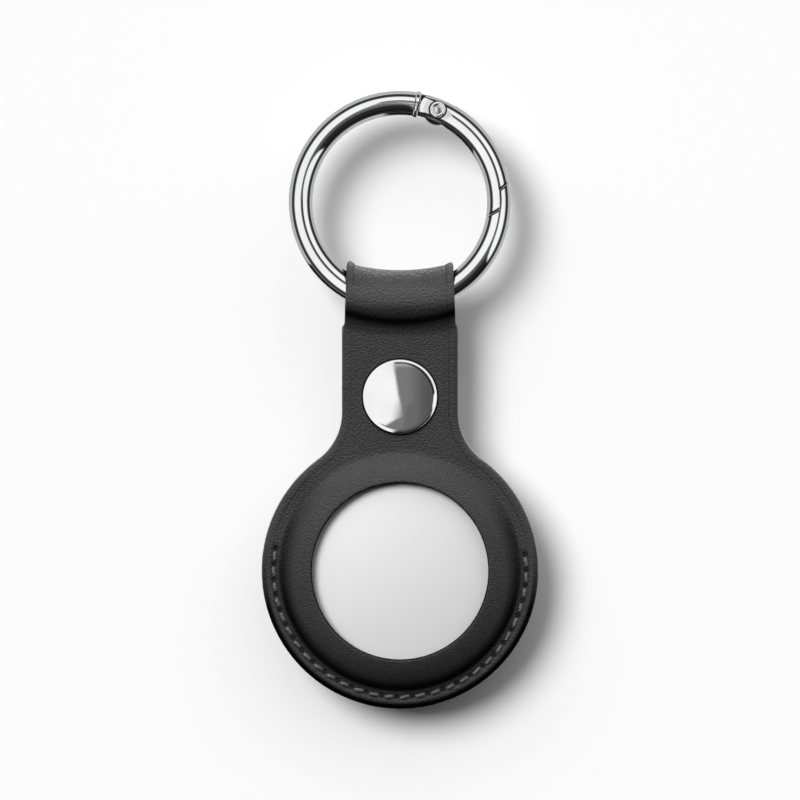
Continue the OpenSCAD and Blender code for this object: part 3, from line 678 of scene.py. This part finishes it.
# %% Dress a piece, and hang it on its body unless it spans several
def settle(piece, body, slot, finish, *nodes, smooth=35):
    only(piece)
    bpy.ops.object.shade_smooth_by_angle(angle=math.radians(smooth))
    piece.data.materials.clear()
    piece.data.materials.append(finish)
    if isinstance(body, str):
        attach(piece, body)
    else:
        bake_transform(piece)
        body = body[:2]
    if nodes:
        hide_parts(*nodes)
    print(piece.name, "has", len(piece.data.polygons), "faces and rides on", body)


# %% [markdown]
# ## Ring
#
# The ring is round wire, a little deeper than it is wide, cast in zinc and chromed. One section of
# it is drawn as a circle, its halves are moved apart, and it is spun about the ring's axis. The
# hinge and the latch are then cut with round bars about the pin, because both swing about it.

# %% A stretch of wire
def wire_stretch(name, start, end, grow=0.0, sides=72):
    """Wire between two angles on the ring, in degrees."""
    deselect()
    r, across = wire_w / 2 + grow, (0, math.pi / 2, 0)
    bpy.ops.mesh.primitive_circle_add(vertices=sides, radius=r, location=(0, 0, ring_r), rotation=across)
    piece = start_piece(name)
    for vertex in piece.data.vertices:
        if abs(vertex.co.y) > 1e-7:
            vertex.co.y += math.copysign((wire_depth - wire_w) / 2, vertex.co.y)
    edit_all()
    bpy.ops.transform.rotate(value=-math.radians(start), orient_axis="Y", center_override=(0, 0, 0))
    steps = max(4, round(abs(end - start) / 1.25))
    bpy.ops.mesh.spin(steps=steps, angle=-math.radians(end - start), center=(0, 0, 0), axis=(0, 1, 0))
    clean_skin(piece, fill=True)
    return piece


# %% Ring body with its latch
joint_gap, end_r = 0.1 * mm, 2.85 * mm
collar_angle = math.degrees(math.asin((end_r + joint_gap) / ring_r))


def latch_tool(name, grow):
    """The latch's steps as one round solid about the pin: wide outside the ring's circle, narrow inside."""
    outer = round_bar(name, outer_step_r + grow, 8 * mm, pin, sides=256)
    inner = round_bar("latch_inner", inner_step_r + grow, 7 * mm, pin, sides=256)
    carve(inner, round_bar("latch_half", ring_r + grow, 9 * mm, (0, 0, 0), sides=256), "INTERSECT")
    carve(outer, inner, "UNION")
    return outer


ring = wire_stretch("ring_wire", 77.5, 360 + hinge_at - collar_angle)
latch_cut = latch_tool("latch_cut", joint_gap)
carve(latch_cut, block("latch_box", (8.75, -2.5, -8.75), (26.25, 2.5, 8.75)), "INTERSECT")
carve(ring, latch_cut)
print("ring wire spans", [round(v / mm, 1) for v in ring.dimensions])

# %% Collar and tongue of the hinge
collar_span, thin_share = 3.06, 1.86 / 2.035
collar_from = hinge_at - collar_angle - 3.1
collar = wire_stretch("collar", collar_from, collar_from + collar_span, grow=0.16 * mm)
for vertex in collar.data.vertices:
    x, y, z = vertex.co
    along = (math.degrees(math.atan2(x, z)) - collar_from) / collar_span
    bead = thin_share + (1 - thin_share) * math.sqrt(max(0.0, 1 - (2 * along - 1) ** 4))
    out = (ring_r + (math.hypot(x, z) - ring_r) * bead) / math.hypot(x, z)
    vertex.co = (x * out, y * bead, z * out)
carve(ring, collar, "UNION")
tongue_t = 1.7 * mm
tang = wire_stretch("tang", hinge_at - 14, hinge_at, grow=-0.15 * mm)
carve(tang, round_bar("tang_eye", 2.3 * mm, tongue_t, pin), "UNION")
carve(tang, round_bar("tang_slab", 17.35 * mm, tongue_t, (0, 0, 0), sides=256), "INTERSECT")
carve(tang, round_bar("tang_bore", 0.8 * mm, 9 * mm, pin))
carve(ring, tang, "UNION")
settle(ring, "ring", "chrome_plate", chrome, "ring_body", smooth=30)

# %% [markdown]
# ## Gate
#
# The gate is the same wire. Its hinge end is a half round about the pin with a slot for the ring's
# tongue, and its free end steps behind the ring, so a pull on the ring can't open it. Round the
# rivet the casting is filed flat.

# %% Gate
gate = wire_stretch("gate_wire", hinge_at - 16, inner_step_at + 12)
shape = latch_tool("gate_shape", 0.0)
carve(shape, block("behind_pin", (-70, -6, -40), (0, 6, 40), turn=(0, hinge_angle, 0)))
carve(shape, round_bar("hinge_end", end_r, 7.5 * mm, pin), "UNION")
carve(gate, shape, "INTERSECT")
carve(gate, round_bar("slot", 2.9 * mm, 1.9 * mm, pin))
carve(gate, round_bar("pin_hole", 0.85 * mm, 9 * mm, pin, sides=48))
for side in (-1, 1):
    carve(gate, round_bar("head_seat", 1.4 * mm, 3 * mm, pin + Vector((0, side * 3.0 * mm, 0)), sides=64))

# %% Flats round the rivet
for side in (-1, 1):
    low, high = sorted((0, side * 3))
    flat = block("flat_tool", (-9, low, -4), (0, high, 4), turn=(0, 0, side * math.radians(4.6)))
    flat.location = (2.5 * mm, side * wire_depth / 2, 0)
    apply_place()
    flat.rotation_euler, flat.location = (0, hinge_angle, 0), pin
    apply_place()
    carve(gate, flat)
settle(gate, "gate", "chrome_plate", gate_chrome, "ring_gate", smooth=30)

# %% [markdown]
# ## Rivet
#
# The gate's pin is a tubular rivet: its front end is hollow with a rolled lip, and its back end is
# a smooth dome. Both ends are grown from one ring, extruded and resized step by step.

# %% Rivet
bore = [(0.12, 1.65), (0.45, 1.62), (0.62, 1.75), (0.66, 2.1)]
lip = [(0.72, 2.3), (0.84, 2.38), (0.98, 2.4), (1.12, 2.36), (1.21, 2.26), (1.25, 2.1), (1.25, 1.53)]
back_end = [(0.8, 1.53), (0.8, -1.53), (1.25, -1.53), (1.25, -1.95), (1.2, -2.08)]
dome_back = [(1.08, -2.2), (0.9, -2.29), (0.65, -2.36), (0.35, -2.39), (0.08, -2.4)]
rivet = turned("hinge_pin", bore + lip + back_end + dome_back, pin, sides=64)
settle(rivet, "ring", "rivet_steel", rivet_metal, "hinge_rivet")

# %% [markdown]
# ## Leather panels
#
# The front panel is a disc pressed over the tag, with a round window, and it runs on upwards as the
# strap. The disc is turned ring by ring: out from the window over the rim, round the shoulder,
# down to the flange, round the painted edge, and back on the inside. The strap and the curved neck
# are plain solids that overlap it. A voxel remesh then fuses them all into one even skin, and a
# little smoothing gives the soft corners of leather.

# %% Rings of a pressed panel
def panel_disc(name, facing):
    """Both panels are the same pressing: facing is 1 for the front one and -1 for the back one."""
    rim = [(13.85, 3.0), (13.85, 4.45), (13.98, 4.57), (14.5, 4.43), (15.1, 4.2), (15.7, 3.92)]
    shoulder = [(16.3, 3.58), (16.9, 3.16), (17.4, 2.74), (17.85, 2.32), (18.2, 2.02), (18.55, 1.85)]
    flange = [(18.95, 1.8), (21.6, 1.8), (21.8, 1.65), (21.8, 0.25), (21.7, 0.05), (21.5, 0.0)]
    inside = [(16.3, 0.0), (16.3, 1.8), (16.2, 2.2), (16.0, 2.5), (15.7, 2.72), (15.3, 2.8)]
    window = [(13.98, 2.8), (13.85, 2.95), rim[0]]
    rings = [(r, facing * h) for r, h in rim + shoulder + flange + inside + window]
    return turned(name, rings, tag_centre, sides=192, ends=False)


# %% Strap with its neck
half_strap = strap_w / 2 / mm
neck_x = strap_w / 2 + neck_r
neck_rise = math.sqrt((body_r + neck_r) ** 2 - neck_x ** 2)
neck_share = body_r / (body_r + neck_r)
neck_z, neck_low = (neck_rise - tag_drop) / mm, (neck_rise * neck_share - tag_drop) / mm
neck_foot = neck_x * neck_share / mm
print("neck curve starts at z", round(neck_z, 2), "and ends at", round(neck_low, 2))


def strap_solid(name, y0, y1, top):
    """The strap up to a height in mm, with the curved neck that meets the disc."""
    neck = block(name, (-neck_foot, y0, neck_low - 1), (neck_foot, y1, neck_z))
    for side in (-1, 1):
        carve(neck, round_bar("neck_cut", neck_r, 20 * mm, (side * neck_x, 0, neck_z * mm), sides=160))
    return [neck, block("strap_upper", (-half_strap, y0, neck_z - 0.5), (half_strap, y1, top))]


# %% Fuse solids into one skin
def fuse(name, parts, voxel=0.24 * mm):
    """Joins overlapping solids and gives them one even skin."""
    deselect()
    for part in parts:
        part.select_set(True)
    bpy.context.view_layer.objects.active = parts[0]
    bpy.ops.object.join()
    whole = bpy.context.object
    whole.name = whole.data.name = name
    apply_step(whole, "REMESH", mode="VOXEL", voxel_size=voxel)
    apply_step(whole, "SMOOTH", factor=0.5, iterations=4)
    print(name, "has", len(whole.data.polygons), "faces after the remesh")
    return whole


# %% [markdown]
# ## Loop over the ring
#
# The strip turns over the wire and comes back down behind the strap. Its side view is a teardrop:
# round over the wire, and drawn in with a soft S where it closes. The teardrop is drawn as a circle
# whose upper half is lifted and whose lower points are pulled down to the closing point, then spun a
# few degrees about an axis above it, because the wire inside is curved too.

# %% Teardrop loop
loop_bend, loop_rise, pinch = 36.0, 1.85, 5.25
loop_axis = Vector((0, 0, loop_bend * mm - ring_r))


def teardrop(name, r, x_span, tail=0.0):
    """A stretch of the loop's side view in mm. With no tail it is the plain hole for the wire."""
    deselect()
    start, across = (0, 0, -ring_r), (0, math.pi / 2, 0)
    bpy.ops.mesh.primitive_circle_add(vertices=96, radius=r * mm, location=start, rotation=across)
    piece = start_piece(name)
    for vertex in piece.data.vertices:
        y, z = vertex.co.y / mm, (vertex.co.z + ring_r) / mm
        if z > 1e-4:
            z *= (r + loop_rise) / r
        elif tail:
            t = math.atan2(-z, abs(y)) / (math.pi / 2)
            z = -tail * t
            half = 0.9 + (r - 0.9) * (0.5 + 0.5 * math.cos(math.pi * t)) ** 0.85
            y = math.copysign(half, y) if t < 0.999 else 0.0
        else:
            z *= 0.88
        vertex.co.y, vertex.co.z = y * mm, z * mm - ring_r
    edit_all()
    half_turn = math.asin(x_span / 2 / loop_bend)
    bpy.ops.transform.rotate(value=-half_turn, orient_axis="Y", center_override=tuple(loop_axis))
    bpy.ops.mesh.spin(steps=28, angle=2 * half_turn, center=loop_axis, axis=(0, 1, 0))
    clean_skin(piece, fill=True)
    return piece


def loop_side(z):
    """Half the loop's width in mm at a height: it narrows a little towards the top."""
    return 9.15 - 0.054 * max(0.0, z + 21)


loop = teardrop("loop", 3.1, 24, tail=5.5)
carve(loop, teardrop("loop_hole", 2.27, 28))
print("loop spans", [round(v / mm, 1) for v in loop.dimensions])

# %% Trim the loop's sides and foot
for side in (-1, 1):
    trim = block("trim", (0, -6, -30), (14, 6, 0))
    for vertex in trim.data.vertices:
        if vertex.co.x < 5 * mm:
            vertex.co.x = loop_side(vertex.co.z / mm) * mm
        vertex.co.x *= side
    clean_skin(trim)
    carve(loop, trim)
closing_r = (loop_bend + pinch + 0.3) * mm
carve(loop, round_bar("closing_cut", closing_r, 20 * mm, loop_axis, sides=512), "INTERSECT")

# %% Front leather: disc, neck, strap and loop in one piece
front_parts = [panel_disc("front_disc", 1)] + strap_solid("front_neck", -0.9, 0.9, -19.5) + [loop]
front_leather = fuse("front_leather", front_parts)
for name, r, depth, y, sides in (("front_cap_hole", 1.7, 1.0, -0.5, 48), ("socket_hole", 3.9, 1.2, 0.6, 64)):
    carve(front_leather, round_bar(name, r * mm, depth * mm, (0, y * mm, -snap_drop), sides=sides))


# %% [markdown]
# ## Marks for the leather finish
#
# The attributes that the leather finish reads are measured from the outline, in mm: the distance to
# the nearest cut edge, and where the pressed lines show. One more holds painted shade, black in the
# folds, along the lower border and under the loop, and below nought painted light on the loop's
# top. The outer face is rounded towards the edge by the same distance.

# %% Distance to the outline
loop_foot_z = -21


def outline_mm(x, z, tip_z=None):
    """How far inside the outline a point is. The flap ends in a half round above tip_z."""
    x = abs(x)
    if tip_z is not None and z > tip_z:
        return half_strap - math.hypot(x, z - tip_z)
    if tip_z is None and z > loop_foot_z:
        return loop_side(z) - x
    if z > neck_z:
        return half_strap - x
    to_disc = body_r / mm - math.hypot(x, z + tag_drop / mm)
    if z < neck_low or x > neck_foot * 1.02:
        return to_disc
    return max(to_disc, math.hypot(neck_x / mm - x, z - neck_z) - neck_r / mm)


# %% Painted shade and painted light
def limit(value):
    return min(1.0, max(0.0, value))


def lower_part(z):
    """0 above the tag's centre, rising to 1 below it."""
    return limit((-z - 54) / 10)


def panel_black(z, away, radius, outer, tip, front):
    """Painted shade in the fold at the bulge's foot and along the lower border, and a dark band round the
    flap's tip.
    """
    low = lower_part(z)
    fold_from, fold_full, fold_to = 16.3 + 0.7 * low, 18.4, 19.45
    fold = min(limit((radius - fold_from) / (fold_full - fold_from)), limit((fold_to - radius) / 0.6))
    fold *= (0.66 + 0.31 * low if front else 0.4 + 0.5 * low) * limit((-z - 44) / 8)
    border = 0.95 * limit((1.0 - away) / 0.35) * max(low * limit(outer * 3), limit((-z - 70) / 5))
    band = 0.75 * tip * min(limit((away - 0.4) / 0.2), limit((1.3 - away) / 0.25))
    return max(fold * limit(outer * 3), border, band)


def loop_painted_light_and_shade(x, y, z):
    """Painted shade, black under the loop in front and under the flap behind; below nought, painted light on
    the loop's top.
    """
    painted_lit_top = 0.5 * limit((z + 17.3) / 1.2) * limit((-12.0 - z) / 1.8)
    seam_z = -19.7 + 1.3 * (x / 8) ** 2
    under = 0.93 * math.exp(-(((z - seam_z - 0.85) / 0.9) ** 2)) if y < 0 else 0.9 * limit((-16.6 - z) / 1.4)
    return under if under > 0.05 else -painted_lit_top


def edge_drop(away, low):
    """How far the outer face falls towards the cut edge: a quarter round above, a long slope below."""
    rest = limit(1 - max(0.0, away) / (0.95 + 0.1 * low))
    return 0.6 * (1 - low) * (1 - math.sqrt(1 - rest * rest)) + 0.95 * low * rest ** 1.5


# %% Write the attributes
def mark_edges(piece, face_y, inside_y, tip_z=None):
    """Rounds the outer face towards the outline, and writes the distances for the leather finish."""
    names = ("edge_mm", "inset_mm", "window_mm", "line_here", "pressed")
    for name in names:
        piece.data.attributes.new(name, "FLOAT", "POINT")
    piece.data.attributes.new("rest_place", "FLOAT_VECTOR", "POINT")
    columns = [piece.data.attributes[name].data for name in names]
    front = tip_z is None
    for i, vertex in enumerate(piece.data.vertices):
        x, y, z = [value / mm for value in vertex.co]
        away, radius = outline_mm(x, z, tip_z), math.hypot(x, z + tag_drop / mm)
        outer = limit((y - inside_y) / (face_y - inside_y))
        on_loop = front and z > loop_foot_z
        on_face = 0.0 if on_loop else max(0.0, outer - 0.9) + max(0.0, 0.03 - outer)
        tip = 0.0 if front else limit((z + 27) / 4)
        edge = max(0.0, away - 0.13 * tip) + on_face * 2 * (1 - tip)
        fainter = 0.6 * limit(0.5 + x * face_y / 4) * limit((z + 46) / 6)
        line = limit((z + 55) / 5) * (1 - fainter)
        # The fifth attribute is painted shade, and below nought painted light
        pressed = loop_painted_light_and_shade(x, y, z) if on_loop else panel_black(z, away, radius, outer, tip, front)
        row = (edge, max(0.0, away), abs(radius - window_r / mm), line, pressed)
        for column, value in zip(columns, row):
            column[i].value = value
        ease = limit((-z - 20.2) / 2.5) if front else 1.0
        drop = edge_drop(away, lower_part(z)) * ease * outer * mm
        vertex.co.y += drop if front else -drop
    places = piece.data.attributes["rest_place"].data
    for i, vertex in enumerate(piece.data.vertices):
        places[i].vector = vertex.co


def raise_corners(piece):
    """The strip's edges stand up a little where they turn over the ring."""
    for vertex in piece.data.vertices:
        x, z = vertex.co.x / mm, vertex.co.z / mm
        if z > -16:
            tall = 0.42 * math.exp(-(((x + 7.75) / 0.55) ** 4)) + 0.2 * math.exp(-(((x - 7.9) / 0.6) ** 4))
            vertex.co.z += tall * min(1.0, (z + 16) / 4) * mm


mark_edges(front_leather, front_y / mm, mid_y / mm)
raise_corners(front_leather)
loop_span = ((0, 0, -14 * mm), (0, 0, -20.7 * mm))
front_nodes = ("strap_loop", "front_outer_leather", "front_lining")
front_bodies = ("ring", "holder", *loop_span)
settle(front_leather, front_bodies, "black_leather", front_black, *front_nodes, smooth=60)

# %% [markdown]
# ## Back leather and flap
#
# The back panel is the same pressing turned round. Its tongue runs up as the flap, stands a little
# off the strap where the snap is, and bends away over the loop. It is built flat, fused, and then
# leaned back by a smooth curve of its height.

# %% Back leather
tip_top = -14.3
tip_centre = tip_top - half_strap
back_parts = [panel_disc("back_disc", -1)] + strap_solid("back_neck", 0.9, 2.7, tip_centre)
tip_place = (0, 1.8 * mm, tip_centre * mm)
back_parts.append(round_bar("flap_tip", strap_w / 2, 1.8 * mm, tip_place, sides=192))
back_leather = fuse("back_leather", back_parts)
mark_edges(back_leather, back_y / mm, mid_y / mm, tip_z=tip_centre)

# %% Lean the flap back
flap_tilt, tip_tilt = math.radians(2.2), math.radians(6)
flap_off, lean_from, bend_from = 0.6, -50, 13


def lean_mm(z):
    """How far back the flap stands at a height, in mm: a gentle S from the panel to the tip."""
    fold_z = -fold_drop / mm
    if z < lean_from:
        return 0.0
    if z < fold_z:
        t = (z - lean_from) / (fold_z - lean_from)
        return flap_off * t * t * (3 - 2 * t) * 0.85 + 0.09 * t
    lean = flap_off + (z - fold_z) * math.tan(flap_tilt)
    bend = max(0.0, z - fold_z - bend_from)
    return lean + bend * bend / (bend + 1.2) * math.tan(tip_tilt)


for vertex in back_leather.data.vertices:
    vertex.co.y += lean_mm(vertex.co.z / mm) * mm
fold_span = ((0, 0, -41 * mm), (0, 0, -36.5 * mm))
back_nodes = ("back_outer_leather", "back_lining", "flap_outer_leather", "flap_lining")
back_bodies = ("holder", "flap", *fold_span)
settle(back_leather, back_bodies, "black_leather", back_black, *back_nodes, smooth=60)

# %% [markdown]
# ## Stitches
#
# One lockstitch is a short twisted strand that dives into the leather at both ends. It is modelled
# once, from a sphere drawn out along the seam, and copied round the flange on both sides.

# %% One stitch
def one_stitch(name, facing):
    """A strand of 1.76 mm along X, which dives into the face at both ends."""
    deselect()
    bpy.ops.mesh.primitive_uv_sphere_add(segments=10, ring_count=10, radius=1, rotation=(0, math.pi / 2, 0))
    strand = start_piece(name)
    for vertex in strand.data.vertices:
        along = vertex.co.x
        body = (1 - along ** 6) ** 0.5 if abs(along) < 1 else 0
        fuller = body / max(1e-6, math.sqrt(max(0.0, 1 - along * along)))
        rise = 0.07 - 0.38 * along ** 4
        vertex.co = (0.88 * along, 0.21 * vertex.co.y * fuller - facing * rise, 0.27 * vertex.co.z * fuller)
        vertex.co *= mm
    return strand


# %% Seams on both faces
def stitch_row(name, facing, face_y):
    one = one_stitch(name + "_one", facing)
    copies = []
    for i in range(stitch_count):
        turn = seam_left - (seam_left + seam_right) * (i + 0.5) / stitch_count
        copy = one.copy()
        copy.data = one.data.copy()
        bpy.context.collection.objects.link(copy)
        slant = math.radians(7 + 3 * math.sin(2.4 * i))
        copy.rotation_euler = (0, turn - slant, 0)
        copy.scale = (1 + 0.07 * math.sin(1.7 * i + 1), 1, 1 + 0.08 * math.sin(3.1 * i))
        copy.location = (-seam_r * math.sin(turn), face_y, -seam_r * math.cos(turn) - tag_drop)
        copies.append(copy)
    bpy.data.objects.remove(one)
    deselect()
    for copy in copies:
        copy.select_set(True)
    bpy.context.view_layer.objects.active = copies[0]
    apply_place()
    bpy.ops.object.join()
    row = bpy.context.object
    row.name = row.data.name = name
    return row


settle(stitch_row("front_stitches", 1, front_y), "holder", "black_thread", thread, "front_seam_thread")
settle(stitch_row("back_stitches", -1, back_y), "holder", "black_thread", thread, "back_seam_thread")

# %% [markdown]
# ## Snap
#
# In front the snap shows a smooth, barely domed cap with a rolled rim. At the back the post's cap
# has a raised ring round a dimple, where the setting tool pressed it.

# %% Front cap
face_r, face_h, dome_h, dome_steps = 5.55, 0.46, 0.27, 11
front_cap_rings = [(1.6, -0.3), (1.6, 0.0), (face_r, 0.0), (5.72, 0.03), (5.82, 0.12), (5.85, 0.22)]
front_cap_rings += [(5.82, 0.32), (5.72, 0.4), (face_r, face_h)]
dome_r = (face_r ** 2 + dome_h ** 2) / (2 * dome_h)
for step in range(1, dome_steps + 1):
    r = face_r * (1 - step / (dome_steps + 0.5))
    rise = math.sqrt(dome_r ** 2 - r * r) - math.sqrt(dome_r ** 2 - face_r ** 2)
    front_cap_rings.append((r, face_h + rise))
front_cap = turned("snap_front_cap", front_cap_rings, (0, front_y, -snap_drop), sides=160)
settle(front_cap, "holder", "snap_plate", snap_chrome, "snap_cap", smooth=50)

# %% Back cap, tilted and moved onto the leaning flap
rolled_rim = [(1.1, 0.6), (1.1, 0.0), (5.6, 0.0), (5.85, -0.03), (5.97, -0.11), (6.0, -0.2), (5.96, -0.3)]
shoulder = [(5.8, -0.38), (5.72, -0.44), (5.6, -0.53), (5.43, -0.6), (5.22, -0.643), (4.95, -0.66)]
raised_ring = [(4.3, -0.68), (3.6, -0.7), (3.15, -0.71), (3.03, -0.718), (2.94, -0.75), (2.86, -0.765)]
dimple = [(2.78, -0.75), (2.69, -0.7), (2.6, -0.675), (2.5, -0.668), (2.3, -0.664), (1.8, -0.658)]
dimple += [(1.0, -0.65), (0.3, -0.645)]
back_cap = turned("snap_back_cap", rolled_rim + shoulder + raised_ring + dimple, (0, 0, 0), sides=160)
edit_all()
bpy.ops.transform.rotate(value=flap_tilt, orient_axis="X", center_override=(0, 0, 0))
bpy.ops.object.mode_set(mode="OBJECT")
low, high = [Vector(corner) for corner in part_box("snap_post_cap")]
back_face = max(vertex.co.y for vertex in back_cap.data.vertices)
for vertex in back_cap.data.vertices:
    vertex.co += Vector((0, high.y - back_face, (low.z + high.z) / 2))
settle(back_cap, "flap", "snap_plate", post_chrome, "snap_post_cap", smooth=50)

# %% [markdown]
# ## Tag
#
# The round tag shows only as two plain pale faces, slightly domed, inside the windows. Its shell
# and its back cover are turned like the caps.

# %% Tag shell
tag_half, dome_edge_r, dome_fall, cover_r, cover_t = 4.0, 13.85, 1.35, 12.8, 0.6


def dome_at(r):
    """Height of the tag's domed face above its middle plane, in mm."""
    sphere_r = (dome_edge_r ** 2 + dome_fall ** 2) / (2 * dome_fall)
    return tag_half - sphere_r + math.sqrt(sphere_r ** 2 - r * r)


front_face = [(0.4, tag_half)] + [(r, dome_at(r)) for r in (2, 4, 6, 8, 10, 12, 13, 13.75, 14.2)]
upper_edge = [(14.6, 2.25), (15.2, 1.8), (15.65, 1.2), (15.9, 0.6)]
lower_edge = [(r, -h) for r, h in reversed(upper_edge)]
back_rim = [(r, -dome_at(r)) for r in (14.2, 13.4, 12.82)]
round_edge = upper_edge + [(15.95, 0.0)] + lower_edge + back_rim
hollow = [(0.4, 2.9), (6.0, 2.6), (12.1, 1.9), (12.1, 1.5), (12.82, 1.5)]
tag_rings = hollow + round_edge[::-1] + front_face[::-1]
tag_front = turned("tag_front_shell", tag_rings, tag_centre, sides=160)
settle(tag_front, "tag", "pale_plastic", tag_plastic, "tag_shell", smooth=40)

# %% Tag cover
cover_rings = [(0.4, cover_t - tag_half)] + [(r, cover_t - dome_at(r)) for r in (4, 8, 12, cover_r)]
cover_rings += [(cover_r, 0.01 - dome_at(cover_r)), (cover_r - 0.01, -dome_at(cover_r - 0.01))]
cover_rings += [(r, -dome_at(r)) for r in (12, 10, 8, 6, 4, 2)] + [(0.4, -tag_half)]
tag_back = turned("tag_back_shell", cover_rings, tag_centre, sides=160)
settle(tag_back, "tag", "pale_metal", tag_plastic, "tag_back_cover", smooth=40)

# %% [markdown]
# ## Pieces kept from the CAD part
#
# What is small or hidden keeps its CAD shape and only gets a finish: the gate's spring and plunger,
# the snap's socket, ring and stud, and the parts inside the tag.

# %% Finishes of the kept pieces
steel_nodes = ("gate_spring", "spring_plunger", "snap_socket", "snap_spring", "snap_stud")
kept = {node: inner_steel for node in steel_nodes}
kept |= {"tag_battery": cell_steel, "tag_battery_contacts": contact_brass}
kept |= {"tag_circuit_board": board_green, "tag_speaker": magnet_metal}
for node, finish in kept.items():
    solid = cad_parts[node]
    solid.data.materials.clear()
    solid.data.materials.append(finish)
print("kept from the CAD part:", ", ".join(kept))

# %% [markdown]
# ## What each sun lights
#
# The low suns light the sheets and the tag's faces only, and the high suns light the leather and
# what is left. The ring, the caps and the floor take their light from the world alone.

# %% Light linking
def light_only(lamp, receivers):
    """A studio lamp that is flagged off everything but these pieces."""
    lit_pieces = bpy.data.collections.new(lamp.name + "_lights")
    for piece in receivers:
        lit_pieces.objects.link(piece)
    lamp.light_linking.receiver_collection = lit_pieces


low_lit = [backdrop, front_sheet, tag_front, tag_back]
not_high = low_lit + [floor, ring, gate, rivet, front_cap, back_cap]
high_lit = [piece for piece in bpy.data.objects if piece.type == "MESH" and piece not in not_high]
for lamp in (shadow_sun, back_shadow_sun):
    light_only(lamp, low_lit)
for lamp in (key_sun, back_key_sun):
    light_only(lamp, high_lit)
print("low suns light", len(low_lit), "pieces, high suns", len(high_lit))
